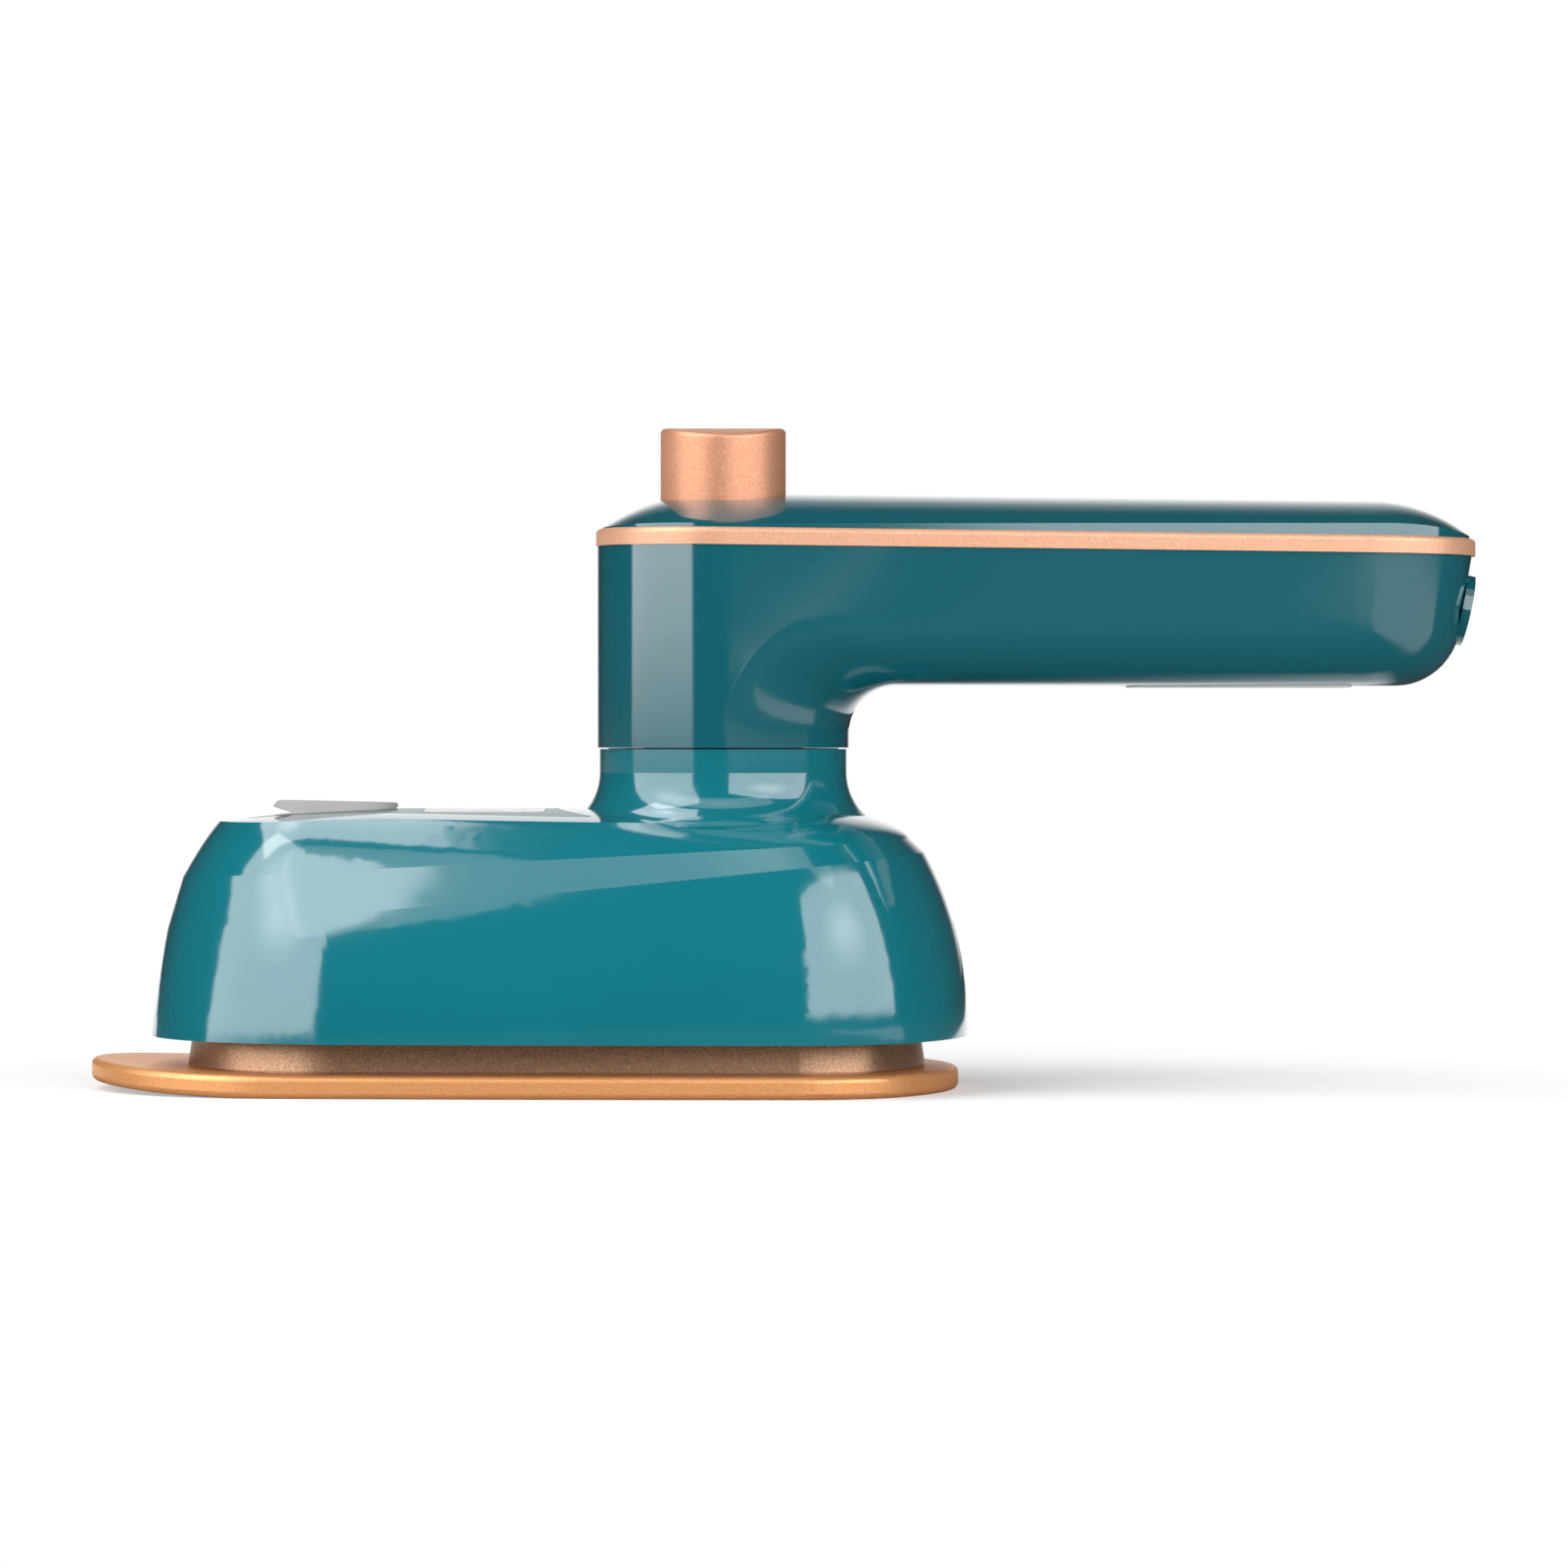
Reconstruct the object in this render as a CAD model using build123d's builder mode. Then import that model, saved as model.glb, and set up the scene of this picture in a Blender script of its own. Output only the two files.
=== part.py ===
"""A mini travel steam iron whose handle swivels on the neck above its water base.

X points to the end of the handle as the iron is used, Z points up, and the origin lies on the
swivel axis at the level of the sole. All lengths are in millimetres.
"""

import math
import os

from build123d import *

os.makedirs("parts", exist_ok=True)

# Sole plate
sole_tip_reach = 94.7
sole_rear_reach = 35.3
sole_half_width = 33.0
sole_nose_radius = 30.0
sole_thickness = 3.3
sole_bow_reach = 65.0
sole_bow_radius = 300.0
sole_edge_round = 0.9
vent_diameter = 2.2
vent_spread = 5.6
vent_rows = 5
vent_taper_rows = 2

# Heater block, its steam chamber and the tube that heats it
block_front_reach = 80.3
block_rear_reach = 30.3
block_half_width = 26.8
block_nose_radius = 24.5
block_foot_groove = 0.3
block_foot_inset = 0.5
block_top_z = 9.0
block_draft = 8
chamber_front_reach = 44.0
chamber_rear_reach = 4.0
chamber_half_width = 8.6
chamber_nose_radius = 2.5
chamber_floor = 1.6
chamber_ledge = 1.5
chamber_lid = 1.0
element_diameter = 4.8
element_lift = 3.0
element_tip_reach = 62.0
element_end_x = 17.0
element_end_y = 15.5
element_end_z = 14.0
element_bend = 4.0
shield_thickness = 0.6
thermostat_x = 19.0
thermostat_y = -6.8
thermostat_radius = 5.5
thermostat_height = 4.0
fuse_y = 6.0
fuse_diameter = 3.6
fuse_length = 12.0
fuse_lead = 1.0
service_front_x = 11.0
service_rear_x = 27.0
service_half_width = 19.5
thermostat_tab = 0.8
sole_screw_front_x = -70.0
sole_screw_rear_x = 4.0
sole_screw_rear_y = 22.0
sole_screw_depth = 3.5

# Base shell
rim_z = 8.0
rim_front_reach = 85.8
rim_rear_reach = 36.7
rim_half_width = 35.0
rim_nose_radius = 32.5
crown_z = 41.9
crown_radius = 125.0
crown_flat_reach = 45.0
crown_front_radius = 250.0
shell_wall = 2.2
neck_radius = 18.6
neck_flare = 8.5
neck_flare_top_z = 47.3
neck_flare_foot_z = 39.5
seam_z = 50.9
seam_gap = 0.2
collar_thickness = 3.0
plate_thickness = 2.2
plate_clearance = 0.9
post_radius = 3.6
post_foot_z = 17.0
post_front_gap = 1.4
post_rear_x = -24.3
post_rear_y = 13.3

# Top panel, water window, tank and filler plug
panel_thickness = 1.0
panel_front_reach = 71.8
panel_half_width = 17.6
panel_nose_radius = 7.0
panel_neck_radius = 25.0
panel_tip_round = 0.7
panel_gap = 0.15
window_neck_gap = 1.4
window_half_width = 10.6
window_corner = 1.5
window_ledge = 1.0
tank_post_gap = 0.5
tank_floor_z = 12.2
tank_top_z = 36.5
tank_inset = 3.7
tank_lean = 20.3
tank_wall = 1.5
filler_bore = 4.6
filler_wall = 1.4
filler_neck_gap = 1.1
outlet_length = 9.0
plug_hinge_z = 42.35
plug_half_width = 5.4
plug_front_z = 43.1
plug_end_round = 0.4
plug_stem_radius = 4.35
plug_stem_tip_radius = 3.2
plug_stem_length = 5.0
plug_notch_height = 0.9
plug_notch_depth = 3.2
plug_lip = 0.35

# Pump and its hoses
pump_radius = 6.5
pump_bore = 5.0
pump_top_z = 42.0
pump_chamber_z = 22.0
pump_foot_radius = 9.0
pump_foot = 1.5
pump_socket_wall = 1.25
pump_socket_height = 2.5
pump_cap_wall = 1.1
pump_cap_skirt = 3.0
pump_cap_top = 1.6
port_z = 17.0
port_y = 3.2
port_radius = 1.5
port_bore = 0.8
port_end_x = -11.0
valve_pocket = 1.6
valve_pocket_x = -4.5
valve_ball = 1.4
valve_port = 1.0
hose_radius = 2.4
hose_fit = 0.02
hose_start_x = -7.0
hose_bend = 3.6
nipple_x = -15.5
nipple_top_z = 13.0

# Swivel
spigot_radius = 12.0
spigot_bore = 9.5
spigot_foot_z = 44.4
spigot_flange_radius = 15.5
spigot_flange = 2.0
swivel_fit = 0.05
washer_thickness = 0.8
washer_recess = 0.7
washer_radius = 17.4
retainer_radius = 15.0
retainer_thickness = 1.5
ring_groove_depth = 1.0
ring_gap_angle = 60
guide_plate_thickness = 2.0
guide_boss_radius = 4.2
guide_boss_height = 2.8
spigot_screw_count = 3
spigot_screw_skin = 0.5
wire_hole_radius = 2.2

# Handle
handle_neck_radius = 18.9
handle_end_x = 96.1
handle_end_radius = 16.6
underside_end_x = 94.7
underside_end_radius = 14.5
underside_z = 60.3
underside_round = 8.0
crook_radius = 7.0
crook_rise = 2.0
crook_end_x = 14.0
crook_end_radius = 12.0
deck_z = 81.0
deck_fall = 0.67
handle_wall = 2.2
trim_height = 2.6
trim_proud = 0.2
trim_inset = 2.0
trim_round = 0.8
cover_inset = 0.7
cover_height = 8.14
cover_wall = 2.0
cover_cross_radius = 35.0
cover_front_radius = 30.0
cover_front_x = -1.0
cover_rear_radius = 24.0
cover_rear_x = 97.0
lip_wall = 1.4
lip_depth = 2.0
lip_gap = 0.65
cover_post_x = 66.0
cover_post_end_x = 89.0
cover_post_radius = 3.0
cover_socket_z = 66.0
cover_socket_wall = 1.0
cover_screw_grip = 9.0

# Steam button, rod and spring
button_radius = 9.4
button_top_z = 98.9
button_crown_radius = 36.0
button_edge_round = 0.8
button_wall = 1.6
button_ceiling = 1.8
button_foot_z = 80.5
button_flange_radius = 11.2
button_flange_z = 82.0
button_flange = 1.5
button_clearance = 0.3
guide_wall = 2.0
hub_radius = 4.5
hub_depth = 9.0
rod_radius = 2.5
rod_fit = 0.1
rod_collar_radius = 7.5
rod_collar_z = 80.0
rod_collar = 1.5
piston_foot_z = 36.0
piston_height = 4.0
piston_stub_radius = 1.5
spring_radius = 6.0
spring_wire = 0.9
spring_turns = 7
turn_steps = 4

# Cord gland, clamp, terminals and label on the grip
gland_x = 111.8
gland_z = 71.55
gland_tilt = 11.9
gland_pad_radius = 5.3
gland_pad = 1.3
gland_shank_radius = 4.2
gland_length = 5.5
gland_flange_radius = 5.0
gland_flange = 1.3
cord_bore = 2.6
clamp_x = 99.0
clamp_length = 5.0
clamp_width = 16.0
clamp_bar = 2.5
clamp_saddle_z = 74.2
clamp_gap = 0.8
clamp_screw_y = 6.0
terminal_x = 77.5
terminal_length = 14.0
terminal_width = 14.0
terminal_height = 8.0
terminal_bore = 1.6
terminal_pitch = 6.0
label_front_x = 60.8
label_rear_x = 93.9
label_half_width = 8.0
label_corner = 1.5
label_recess = 0.5
label_proud = 0.25
label_gap = 0.1

# Fasteners
screw_radius = 1.2
screw_head_radius = 2.2
screw_head = 1.4
screw_gap = 0.1

# Fits and cuts
part_gap = 0.1
cut_over = 20.0

# Places on the top of the base, as shares of the reach of its panel
plug_front_share = 0.9415
filler_share = 0.8008
plug_hinge_share = 0.6866
window_front_share = 0.6226

# Worked out from the values above
plug_front_x = -panel_front_reach * plug_front_share
plug_hinge_x = -panel_front_reach * plug_hinge_share
filler_x = -panel_front_reach * filler_share
window_front_x = -panel_front_reach * window_front_share
window_rear_x = -panel_neck_radius - window_neck_gap
post_front_x = filler_x - filler_bore - filler_wall - post_front_gap - post_radius
tank_front_x = post_front_x + post_radius + tank_post_gap
tank_rear_x = post_rear_x - post_radius - tank_post_gap / 2
neck_top_z = seam_z - seam_gap / 2
handle_foot_z = seam_z + seam_gap / 2
collar_foot_z = neck_top_z - collar_thickness
shield_top_z = block_top_z + shield_thickness
plate_top_z = shield_top_z + plate_thickness
handle_floor_z = handle_foot_z + handle_wall
flange_top_z = handle_floor_z + spigot_flange
guide_top_z = flange_top_z + guide_plate_thickness
grip_floor_z = underside_z + handle_wall
rim_top_z = deck_z + lip_gap
filler_neck_z = crown_z - shell_wall - filler_neck_gap
sole_screw_tip_z = block_top_z - sole_screw_depth
sole_screw_places = [
    (sole_screw_front_x, 0),
    (sole_screw_rear_x, -sole_screw_rear_y),
    (sole_screw_rear_x, sole_screw_rear_y),
]

# An egg shaped outline is widest this far before its rear end, and its corners are this round,
# both as shares of its half width.
egg_wide_share = 0.706
egg_corner_share = 0.571

# The levels of the shell above its rim: the reach to the front, to the rear and to the side and the
# radius of the nose, as shares of the rim's, then the height over the rim at the front and at the
# rear, as shares of the crown's.
belly_shares = (0.984, 0.940, 0.949, 0.94, 0.295, 0.501)
lower_crease_shares = (0.972, 0.823, 0.849, 0.83, 0.469, 0.808)
upper_crease_shares = (0.945, 0.763, 0.789, 0.70, 0.699, 0.870)
shoulder_shares = (0.904, 0.719, 0.700, 0.60, 0.870, 0.912)
tank_nose_share = 0.42
lid_shares = (0.823, 0.381, 0.386, 0.33, 1.018, 1.018)

deck = Plane(
    origin=(0, 0, deck_z),
    x_dir=(math.cos(math.radians(deck_fall)), 0, -math.sin(math.radians(deck_fall))),
    z_dir=(math.sin(math.radians(deck_fall)), 0, math.cos(math.radians(deck_fall))),
)
trim_top = deck.offset(trim_height)

gland_out = Vector(math.cos(math.radians(gland_tilt)), 0, -math.sin(math.radians(gland_tilt)))
gland_face = Plane(origin=(gland_x, 0, gland_z), x_dir=(0, 1, 0), z_dir=gland_out)


def egg(plane, front, rear, half_width, nose_radius):
    """A blunt egg of six tangent arcs, from -front to rear along the plane's X."""
    wide_x = rear - egg_wide_share * half_width
    run = wide_x + front
    side_radius = (half_width**2 + run**2 - 2 * nose_radius * run) / (2 * (half_width - nose_radius))
    corner_radius = egg_corner_share * half_width
    back = rear - wide_x
    rear_radius = (back**2 + half_width**2 - 2 * half_width * corner_radius) / (2 * (back - corner_radius))
    nose = Vector(nose_radius - front, 0)
    side = Vector(wide_x, half_width - side_radius)
    corner = Vector(wide_x, half_width - corner_radius)
    tail = Vector(rear - rear_radius, 0)
    nose_angle = math.degrees(math.atan2(nose.Y - side.Y, nose.X - side.X))
    tail_angle = math.degrees(math.atan2(corner.Y - tail.Y, corner.X - tail.X))
    with BuildSketch(plane) as outline:
        with BuildLine():
            CenterArc(nose, nose_radius, nose_angle, 360 - 2 * nose_angle)
            CenterArc((side.X, -side.Y), side_radius, -nose_angle, nose_angle - 90)
            CenterArc((corner.X, -corner.Y), corner_radius, -90, 90 - tail_angle)
            CenterArc(tail, rear_radius, -tail_angle, 2 * tail_angle)
            CenterArc(corner, corner_radius, tail_angle, 90 - tail_angle)
            CenterArc(side, side_radius, 90, nose_angle - 90)
        make_face()
    return outline.sketch


def shell_level(shares, skin):
    """One level of the base shell, on its own sloping plane, or of a form one skin inside it."""
    front_share, rear_share, side_share, nose_share, front_rise_share, rear_rise_share = shares
    front = rim_front_reach * front_share - skin
    rear = rim_rear_reach * rear_share - skin
    sink = skin * min(1, front_rise_share)
    front_z = rim_z + (crown_z - rim_z) * front_rise_share - sink
    rear_z = rim_z + (crown_z - rim_z) * rear_rise_share - sink
    slope = math.atan2(rear_z - front_z, front + rear)
    plane = Plane(
        origin=(0, 0, front_z + front * math.tan(slope)),
        x_dir=(math.cos(slope), 0, math.sin(slope)),
        z_dir=(-math.sin(slope), 0, math.cos(slope)),
    )
    half_width = rim_half_width * side_share - skin
    nose = (rim_nose_radius - skin) * nose_share
    return egg(plane, front / math.cos(slope), rear / math.cos(slope), half_width, nose)


def crown_form(skin):
    """All that lies under the crown of the base, or under a crown one skin lower."""
    with BuildPart() as form:
        with BuildSketch(Plane.XZ):
            with BuildLine():
                top_z = crown_z - skin
                axis_z = crown_z - crown_radius
                front_x = -rim_front_reach - cut_over
                rear_x = rim_rear_reach + cut_over
                arc_x = front_x + crown_flat_reach
                fall = crown_front_radius - math.sqrt(crown_front_radius**2 - arc_x**2)
                Polyline((front_x, top_z - fall), (front_x, axis_z), (rear_x, axis_z), (rear_x, top_z))
                Line((rear_x, top_z), (-crown_flat_reach, top_z))
                TangentArc((-crown_flat_reach, top_z), (front_x, top_z - fall), tangent=(-1, 0))
            make_face()
        revolve(axis=Axis((0, 0, axis_z), (1, 0, 0)))
    return form.part


def shell_form(skin):
    """The base shell as a solid, or a form one skin inside it."""
    rim = egg(
        Plane.XY.offset(rim_z),
        rim_front_reach - skin,
        rim_rear_reach - skin,
        rim_half_width - skin,
        rim_nose_radius - skin,
    )
    belly = shell_level(belly_shares, skin)
    lower_crease = shell_level(lower_crease_shares, skin)
    upper_crease = shell_level(upper_crease_shares, skin)
    shoulder = shell_level(shoulder_shares, skin)
    lid = shell_level(lid_shares, skin)
    with BuildPart() as form:
        loft(sections=[rim, belly, lower_crease])
        loft(sections=[lower_crease, upper_crease], ruled=True)
        loft(sections=[upper_crease, shoulder, lid])
        add(crown_form(skin), mode=Mode.INTERSECT)
    return form.part


def grip_outline(plane, neck, end_x, end_radius):
    """The handle from above: the neck's circle and the rounded end, joined by tangent sides."""
    lean = math.degrees(math.asin((neck - end_radius) / end_x))
    with BuildSketch(plane) as outline:
        with BuildLine():
            front = CenterArc((0, 0), neck, 90 - lean, 180 + 2 * lean)
            end = CenterArc((end_x, 0), end_radius, lean - 90, 180 - 2 * lean)
            Line(front @ 1, end @ 0)
            Line(end @ 1, front @ 0)
        make_face()
    return outline.sketch


def deck_outline(plane, inset):
    """The handle's outline at its top edge, drawn in by an inset."""
    return grip_outline(plane, handle_neck_radius - inset, handle_end_x, handle_end_radius - inset)


def grip_level(z, skin):
    """The handle's outline at one height: its end leans in towards the underside."""
    share = (rim_top_z - z) / (rim_top_z - underside_z)
    end_x = handle_end_x + (underside_end_x - handle_end_x) * share
    end_radius = handle_end_radius + (underside_end_radius - handle_end_radius) * share
    return grip_outline(Plane.XY.offset(z), handle_neck_radius - skin, end_x, end_radius - skin)


def grip_form(skin):
    """The grip and the top of the neck as a solid, or a form one skin inside it."""
    with BuildPart() as form:
        loft(sections=[grip_level(underside_z + skin, skin), grip_level(rim_top_z, skin)], ruled=True)
        fillet(form.faces().sort_by(Axis.Z)[0].edges(), underside_round - skin)
    return form.part


def dome_form(skin):
    """All that lies under the handle's dome, or under a dome one skin lower."""
    rise = cover_height - skin
    axis_rise = cover_height - cover_cross_radius
    front_radius = cover_front_radius - skin
    rear_radius = cover_rear_radius - skin
    side = Plane(origin=deck.origin, x_dir=deck.x_dir, z_dir=(0, -1, 0))
    with BuildPart() as form:
        with BuildSketch(side):
            with BuildLine():
                front = CenterArc((cover_front_x, rise - front_radius), front_radius, 90, 90)
                rear = CenterArc((cover_rear_x, rise - rear_radius), rear_radius, 0, 90)
                Line(rear @ 1, front @ 0)
                Polyline(front @ 1, ((front @ 1).X, axis_rise), ((rear @ 0).X, axis_rise), rear @ 0)
            make_face()
        revolve(axis=Axis(deck.from_local_coords((0, 0, axis_rise)), deck.x_dir))
    return form.part


def post(x, y, low_z, high_z, radius):
    """A round upright between two heights."""
    with BuildPart() as upright:
        with BuildSketch(Plane.XY.offset(low_z)):
            with Locations((x, y)):
                Circle(radius)
        extrude(amount=high_z - low_z)
    return upright.part


def tube(x, y, low_z, high_z, radius, bore):
    """A round upright sleeve between two heights."""
    with BuildPart() as sleeve:
        with BuildSketch(Plane.XY.offset(low_z)):
            with Locations((x, y)):
                Circle(radius)
                Circle(bore, mode=Mode.SUBTRACT)
        extrude(amount=high_z - low_z)
    return sleeve.part


def lying_rod(plane, length, radius, bore=0):
    """A round bar, or a sleeve when it has a bore, along a plane's normal."""
    with BuildPart() as bar:
        with BuildSketch(plane):
            Circle(radius)
            if bore:
                Circle(bore, mode=Mode.SUBTRACT)
        extrude(amount=length)
    return bar.part


def screw(x, y, seat_z, tip_z, head_up=1):
    """A pan head screw whose head stands on seat_z, upwards or downwards, and whose tip is at tip_z."""
    head_z = seat_z + head_up * screw_head
    with BuildPart() as fastener:
        add(post(x, y, min(seat_z, head_z), max(seat_z, head_z), screw_head_radius))
        add(post(x, y, min(seat_z, tip_z), max(seat_z, tip_z), screw_radius))
    return fastener.part


def write(name, part):
    """Label a finished piece and write it to its own file."""
    part.label = name
    export_step(part, "parts/" + name + ".step")


# Sole plate: a pressed plate with a round front that bows up, and steam vents under the chamber.
vent_step = (chamber_front_reach + chamber_rear_reach) / (vent_rows + 2)
vent_places = [(-chamber_front_reach + vent_step, 0)]
for row in range(1, vent_rows + 1):
    for side in (-1, 1):
        vent_y = side * vent_spread * min(1, row / vent_taper_rows)
        vent_places.append((-chamber_front_reach + vent_step * (1 + row), vent_y))

with BuildPart() as sole_plate:
    add(egg(Plane.XY, sole_tip_reach, sole_rear_reach, sole_half_width, sole_nose_radius))
    extrude(amount=sole_thickness + cut_over)
    with BuildSketch(Plane.XZ):
        with BuildLine():
            tip_run = sole_tip_reach + cut_over - sole_bow_reach
            tip_x = -sole_tip_reach - cut_over
            low_lift = sole_bow_radius - math.sqrt(sole_bow_radius**2 - tip_run**2)
            top_radius = sole_bow_radius - sole_thickness
            top_lift = top_radius - math.sqrt(top_radius**2 - tip_run**2)
            rear_x = sole_rear_reach + cut_over
            Line((rear_x, 0), (-sole_bow_reach, 0))
            TangentArc((-sole_bow_reach, 0), (tip_x, low_lift), tangent=(-1, 0))
            Line((tip_x, low_lift), (tip_x, sole_thickness + top_lift))
            TangentArc(
                (-sole_bow_reach, sole_thickness), (tip_x, sole_thickness + top_lift), tangent=(-1, 0)
            )
            Polyline((-sole_bow_reach, sole_thickness), (rear_x, sole_thickness), (rear_x, 0))
        make_face()
    extrude(amount=sole_half_width + cut_over, both=True, mode=Mode.INTERSECT)
    sole_blank = sole_plate.part
    outline_edges = sole_plate.edges().filter_by(Axis.Z, reverse=True).filter_by(Axis.Y, reverse=True)
    fillet(outline_edges, sole_edge_round)
    with Locations(*vent_places):
        Hole(vent_diameter / 2)
write("sole_plate", sole_plate.part)

# Heating tube: a hairpin cast into the block, with both ends up through the service opening.
element_z = sole_thickness + element_lift
element_route = [(element_end_x, element_end_y, element_end_z), (element_end_x, element_end_y, element_z)]
element_shoulder_shares = ((0.36, 0.94), (0.81, 0.50))
for reach_share, side_share in element_shoulder_shares:
    element_route.append((-element_tip_reach * reach_share, element_end_y * side_share, element_z))
far_side = [(x, -y, z) for x, y, z in reversed(element_route)]
element_route = element_route + [(-element_tip_reach, 0, element_z)] + far_side


def element_form(radius):
    """The hairpin as a bar of a given radius."""
    with BuildPart() as bar:
        with BuildLine() as path:
            FilletPolyline(*element_route, radius=element_bend)
        with BuildSketch(Plane(origin=path.line @ 0, z_dir=path.line % 0)):
            Circle(radius)
        sweep(path=path.line)
    return bar.part


write("heating_element", element_form(element_diameter / 2))

# Heater block: a casting on the sole, with the steam chamber sunk in its top.
with BuildPart() as heater_block:
    add(
        egg(
            Plane.XY.offset(sole_thickness + block_foot_groove),
            block_front_reach,
            block_rear_reach,
            block_half_width,
            block_nose_radius,
        )
    )
    extrude(amount=block_top_z - sole_thickness - block_foot_groove, taper=block_draft)
    add(
        egg(
            Plane.XY.offset(sole_thickness),
            block_front_reach - block_foot_inset,
            block_rear_reach - block_foot_inset,
            block_half_width - block_foot_inset,
            block_nose_radius - block_foot_inset,
        )
    )
    extrude(amount=block_foot_groove + block_foot_inset)
    add(sole_blank, mode=Mode.SUBTRACT)
    add(
        egg(
            Plane.XY.offset(sole_thickness + chamber_floor),
            chamber_front_reach,
            chamber_rear_reach,
            chamber_half_width,
            chamber_nose_radius,
        )
    )
    extrude(amount=cut_over, mode=Mode.SUBTRACT)
    add(
        egg(
            Plane.XY.offset(block_top_z - chamber_lid),
            chamber_front_reach + chamber_ledge,
            chamber_rear_reach + chamber_ledge,
            chamber_half_width + chamber_ledge,
            chamber_nose_radius + chamber_ledge,
        )
    )
    extrude(amount=cut_over, mode=Mode.SUBTRACT)
    add(element_form(element_diameter / 2 + swivel_fit), mode=Mode.SUBTRACT)
    with Locations(*vent_places):
        Hole(vent_diameter / 2)
    for x, y in sole_screw_places:
        add(post(x, y, sole_screw_tip_z, block_top_z + cut_over, screw_radius), mode=Mode.SUBTRACT)
write("heater_block", heater_block.part)

# Chamber cover: a lid in the ledge of the chamber, with the nipple that lets the water in.
with BuildPart() as chamber_cover:
    add(
        egg(
            Plane.XY.offset(block_top_z - chamber_lid),
            chamber_front_reach + chamber_ledge - part_gap,
            chamber_rear_reach + chamber_ledge - part_gap,
            chamber_half_width + chamber_ledge - part_gap,
            chamber_nose_radius + chamber_ledge - part_gap,
        )
    )
    extrude(amount=chamber_lid)
    add(post(nipple_x, -port_y, block_top_z, nipple_top_z, port_radius))
    add(post(nipple_x, -port_y, block_top_z - cut_over, nipple_top_z, port_bore), mode=Mode.SUBTRACT)
write("chamber_cover", chamber_cover.part)


def plate_blank(low_z, thickness):
    """A plate that fills the shell's mouth, open round the heater's service window and the drip hose."""
    inset = shell_wall + plate_clearance
    with BuildPart() as blank:
        add(
            egg(
                Plane.XY.offset(low_z),
                rim_front_reach - inset,
                rim_rear_reach - inset,
                rim_half_width - inset,
                rim_nose_radius - inset,
            )
        )
        extrude(amount=thickness)
        with BuildSketch(Plane.XY.offset(low_z)):
            with Locations(((service_front_x + service_rear_x) / 2, 0)):
                Rectangle(service_rear_x - service_front_x, 2 * service_half_width)
            with Locations((nipple_x, -port_y)):
                Circle(hose_radius + part_gap)
        extrude(amount=thickness, mode=Mode.SUBTRACT)
        for x, y in sole_screw_places:
            add(post(x, y, low_z, low_z + thickness, screw_radius + screw_gap), mode=Mode.SUBTRACT)
    return blank.part


# Heat shield: a thin insulating sheet between the hot block and the plastic plate.
write("heat_shield", plate_blank(block_top_z, shield_thickness))

# Base plate: carries the block from below and the pump and the shell's posts from above.
base_screw_places = [(post_front_x, 0), (post_rear_x, -post_rear_y), (post_rear_x, post_rear_y)]
with BuildPart() as base_plate:
    add(plate_blank(shield_top_z, plate_thickness))
    socket_bore = pump_foot_radius + part_gap
    socket_top_z = plate_top_z + pump_socket_height
    add(tube(0, 0, plate_top_z, socket_top_z, socket_bore + pump_socket_wall, socket_bore))
    for x, y in base_screw_places:
        add(post(x, y, plate_top_z, post_foot_z - part_gap, post_radius))
        add(
            post(x, y, shield_top_z + shell_wall / 2, post_foot_z, screw_radius), mode=Mode.SUBTRACT
        )
    for x, y in sole_screw_places:
        add(
            post(x, y, plate_top_z - screw_head, plate_top_z, screw_head_radius + screw_gap),
            mode=Mode.SUBTRACT,
        )
write("base_plate", base_plate.part)

# Screws that hold the block under the plate, and the shell to the plate from under the top panel.
with BuildPart() as sole_screws:
    for x, y in sole_screw_places:
        add(screw(x, y, plate_top_z - screw_head, sole_screw_tip_z + part_gap))
write("sole_screws", sole_screws.part)

with BuildPart() as base_screws:
    for x, y in base_screw_places:
        add(screw(x, y, post_foot_z + screw_head, shield_top_z + shell_wall))
write("base_screws", base_screws.part)

# Thermostat: a snap disc in a low can on the block, with two tabs for its leads.
with BuildPart() as thermostat:
    with BuildSketch(Plane.XY.offset(block_top_z)):
        with Locations((thermostat_x, thermostat_y)):
            Circle(thermostat_radius)
    extrude(amount=thermostat_height)
    with BuildSketch(Plane.XY.offset(block_top_z)):
        with Locations((thermostat_x, thermostat_y)):
            with GridLocations(thermostat_radius, 0, 2, 1):
                Rectangle(thermostat_tab, 2 * thermostat_tab)
    extrude(amount=2 * thermostat_height)
write("thermostat", thermostat.part)

# Thermal fuse: a small can that lies on the block, with a wire at each end.
fuse_z = block_top_z + fuse_diameter / 2
fuse_front_x = (service_front_x + service_rear_x - fuse_length) / 2
with BuildPart() as thermal_fuse:
    add(lying_rod(Plane((fuse_front_x, fuse_y, fuse_z), z_dir=(1, 0, 0)), fuse_length, fuse_diameter / 2))
    wire_plane = Plane((fuse_front_x - fuse_lead, fuse_y, fuse_z), z_dir=(1, 0, 0))
    add(lying_rod(wire_plane, fuse_length + 2 * fuse_lead, fuse_lead / 2))
write("thermal_fuse", thermal_fuse.part)


def panel_outline(inset):
    """The inlay from above: a pointed egg whose rear end is hollowed round the neck."""
    with BuildSketch(Plane.XY.offset(crown_z)) as outline:
        add(
            egg(
                Plane.XY,
                panel_front_reach - inset,
                panel_half_width,
                panel_half_width - inset,
                panel_nose_radius - inset,
            )
        )
        Circle(panel_neck_radius + inset, mode=Mode.SUBTRACT)
        with Locations((panel_neck_radius, 0)):
            Rectangle(2 * panel_neck_radius, 2 * panel_neck_radius, mode=Mode.SUBTRACT)
        fillet(outline.vertices().sort_by(Axis.X)[-2:], panel_tip_round)
    return outline.sketch


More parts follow.
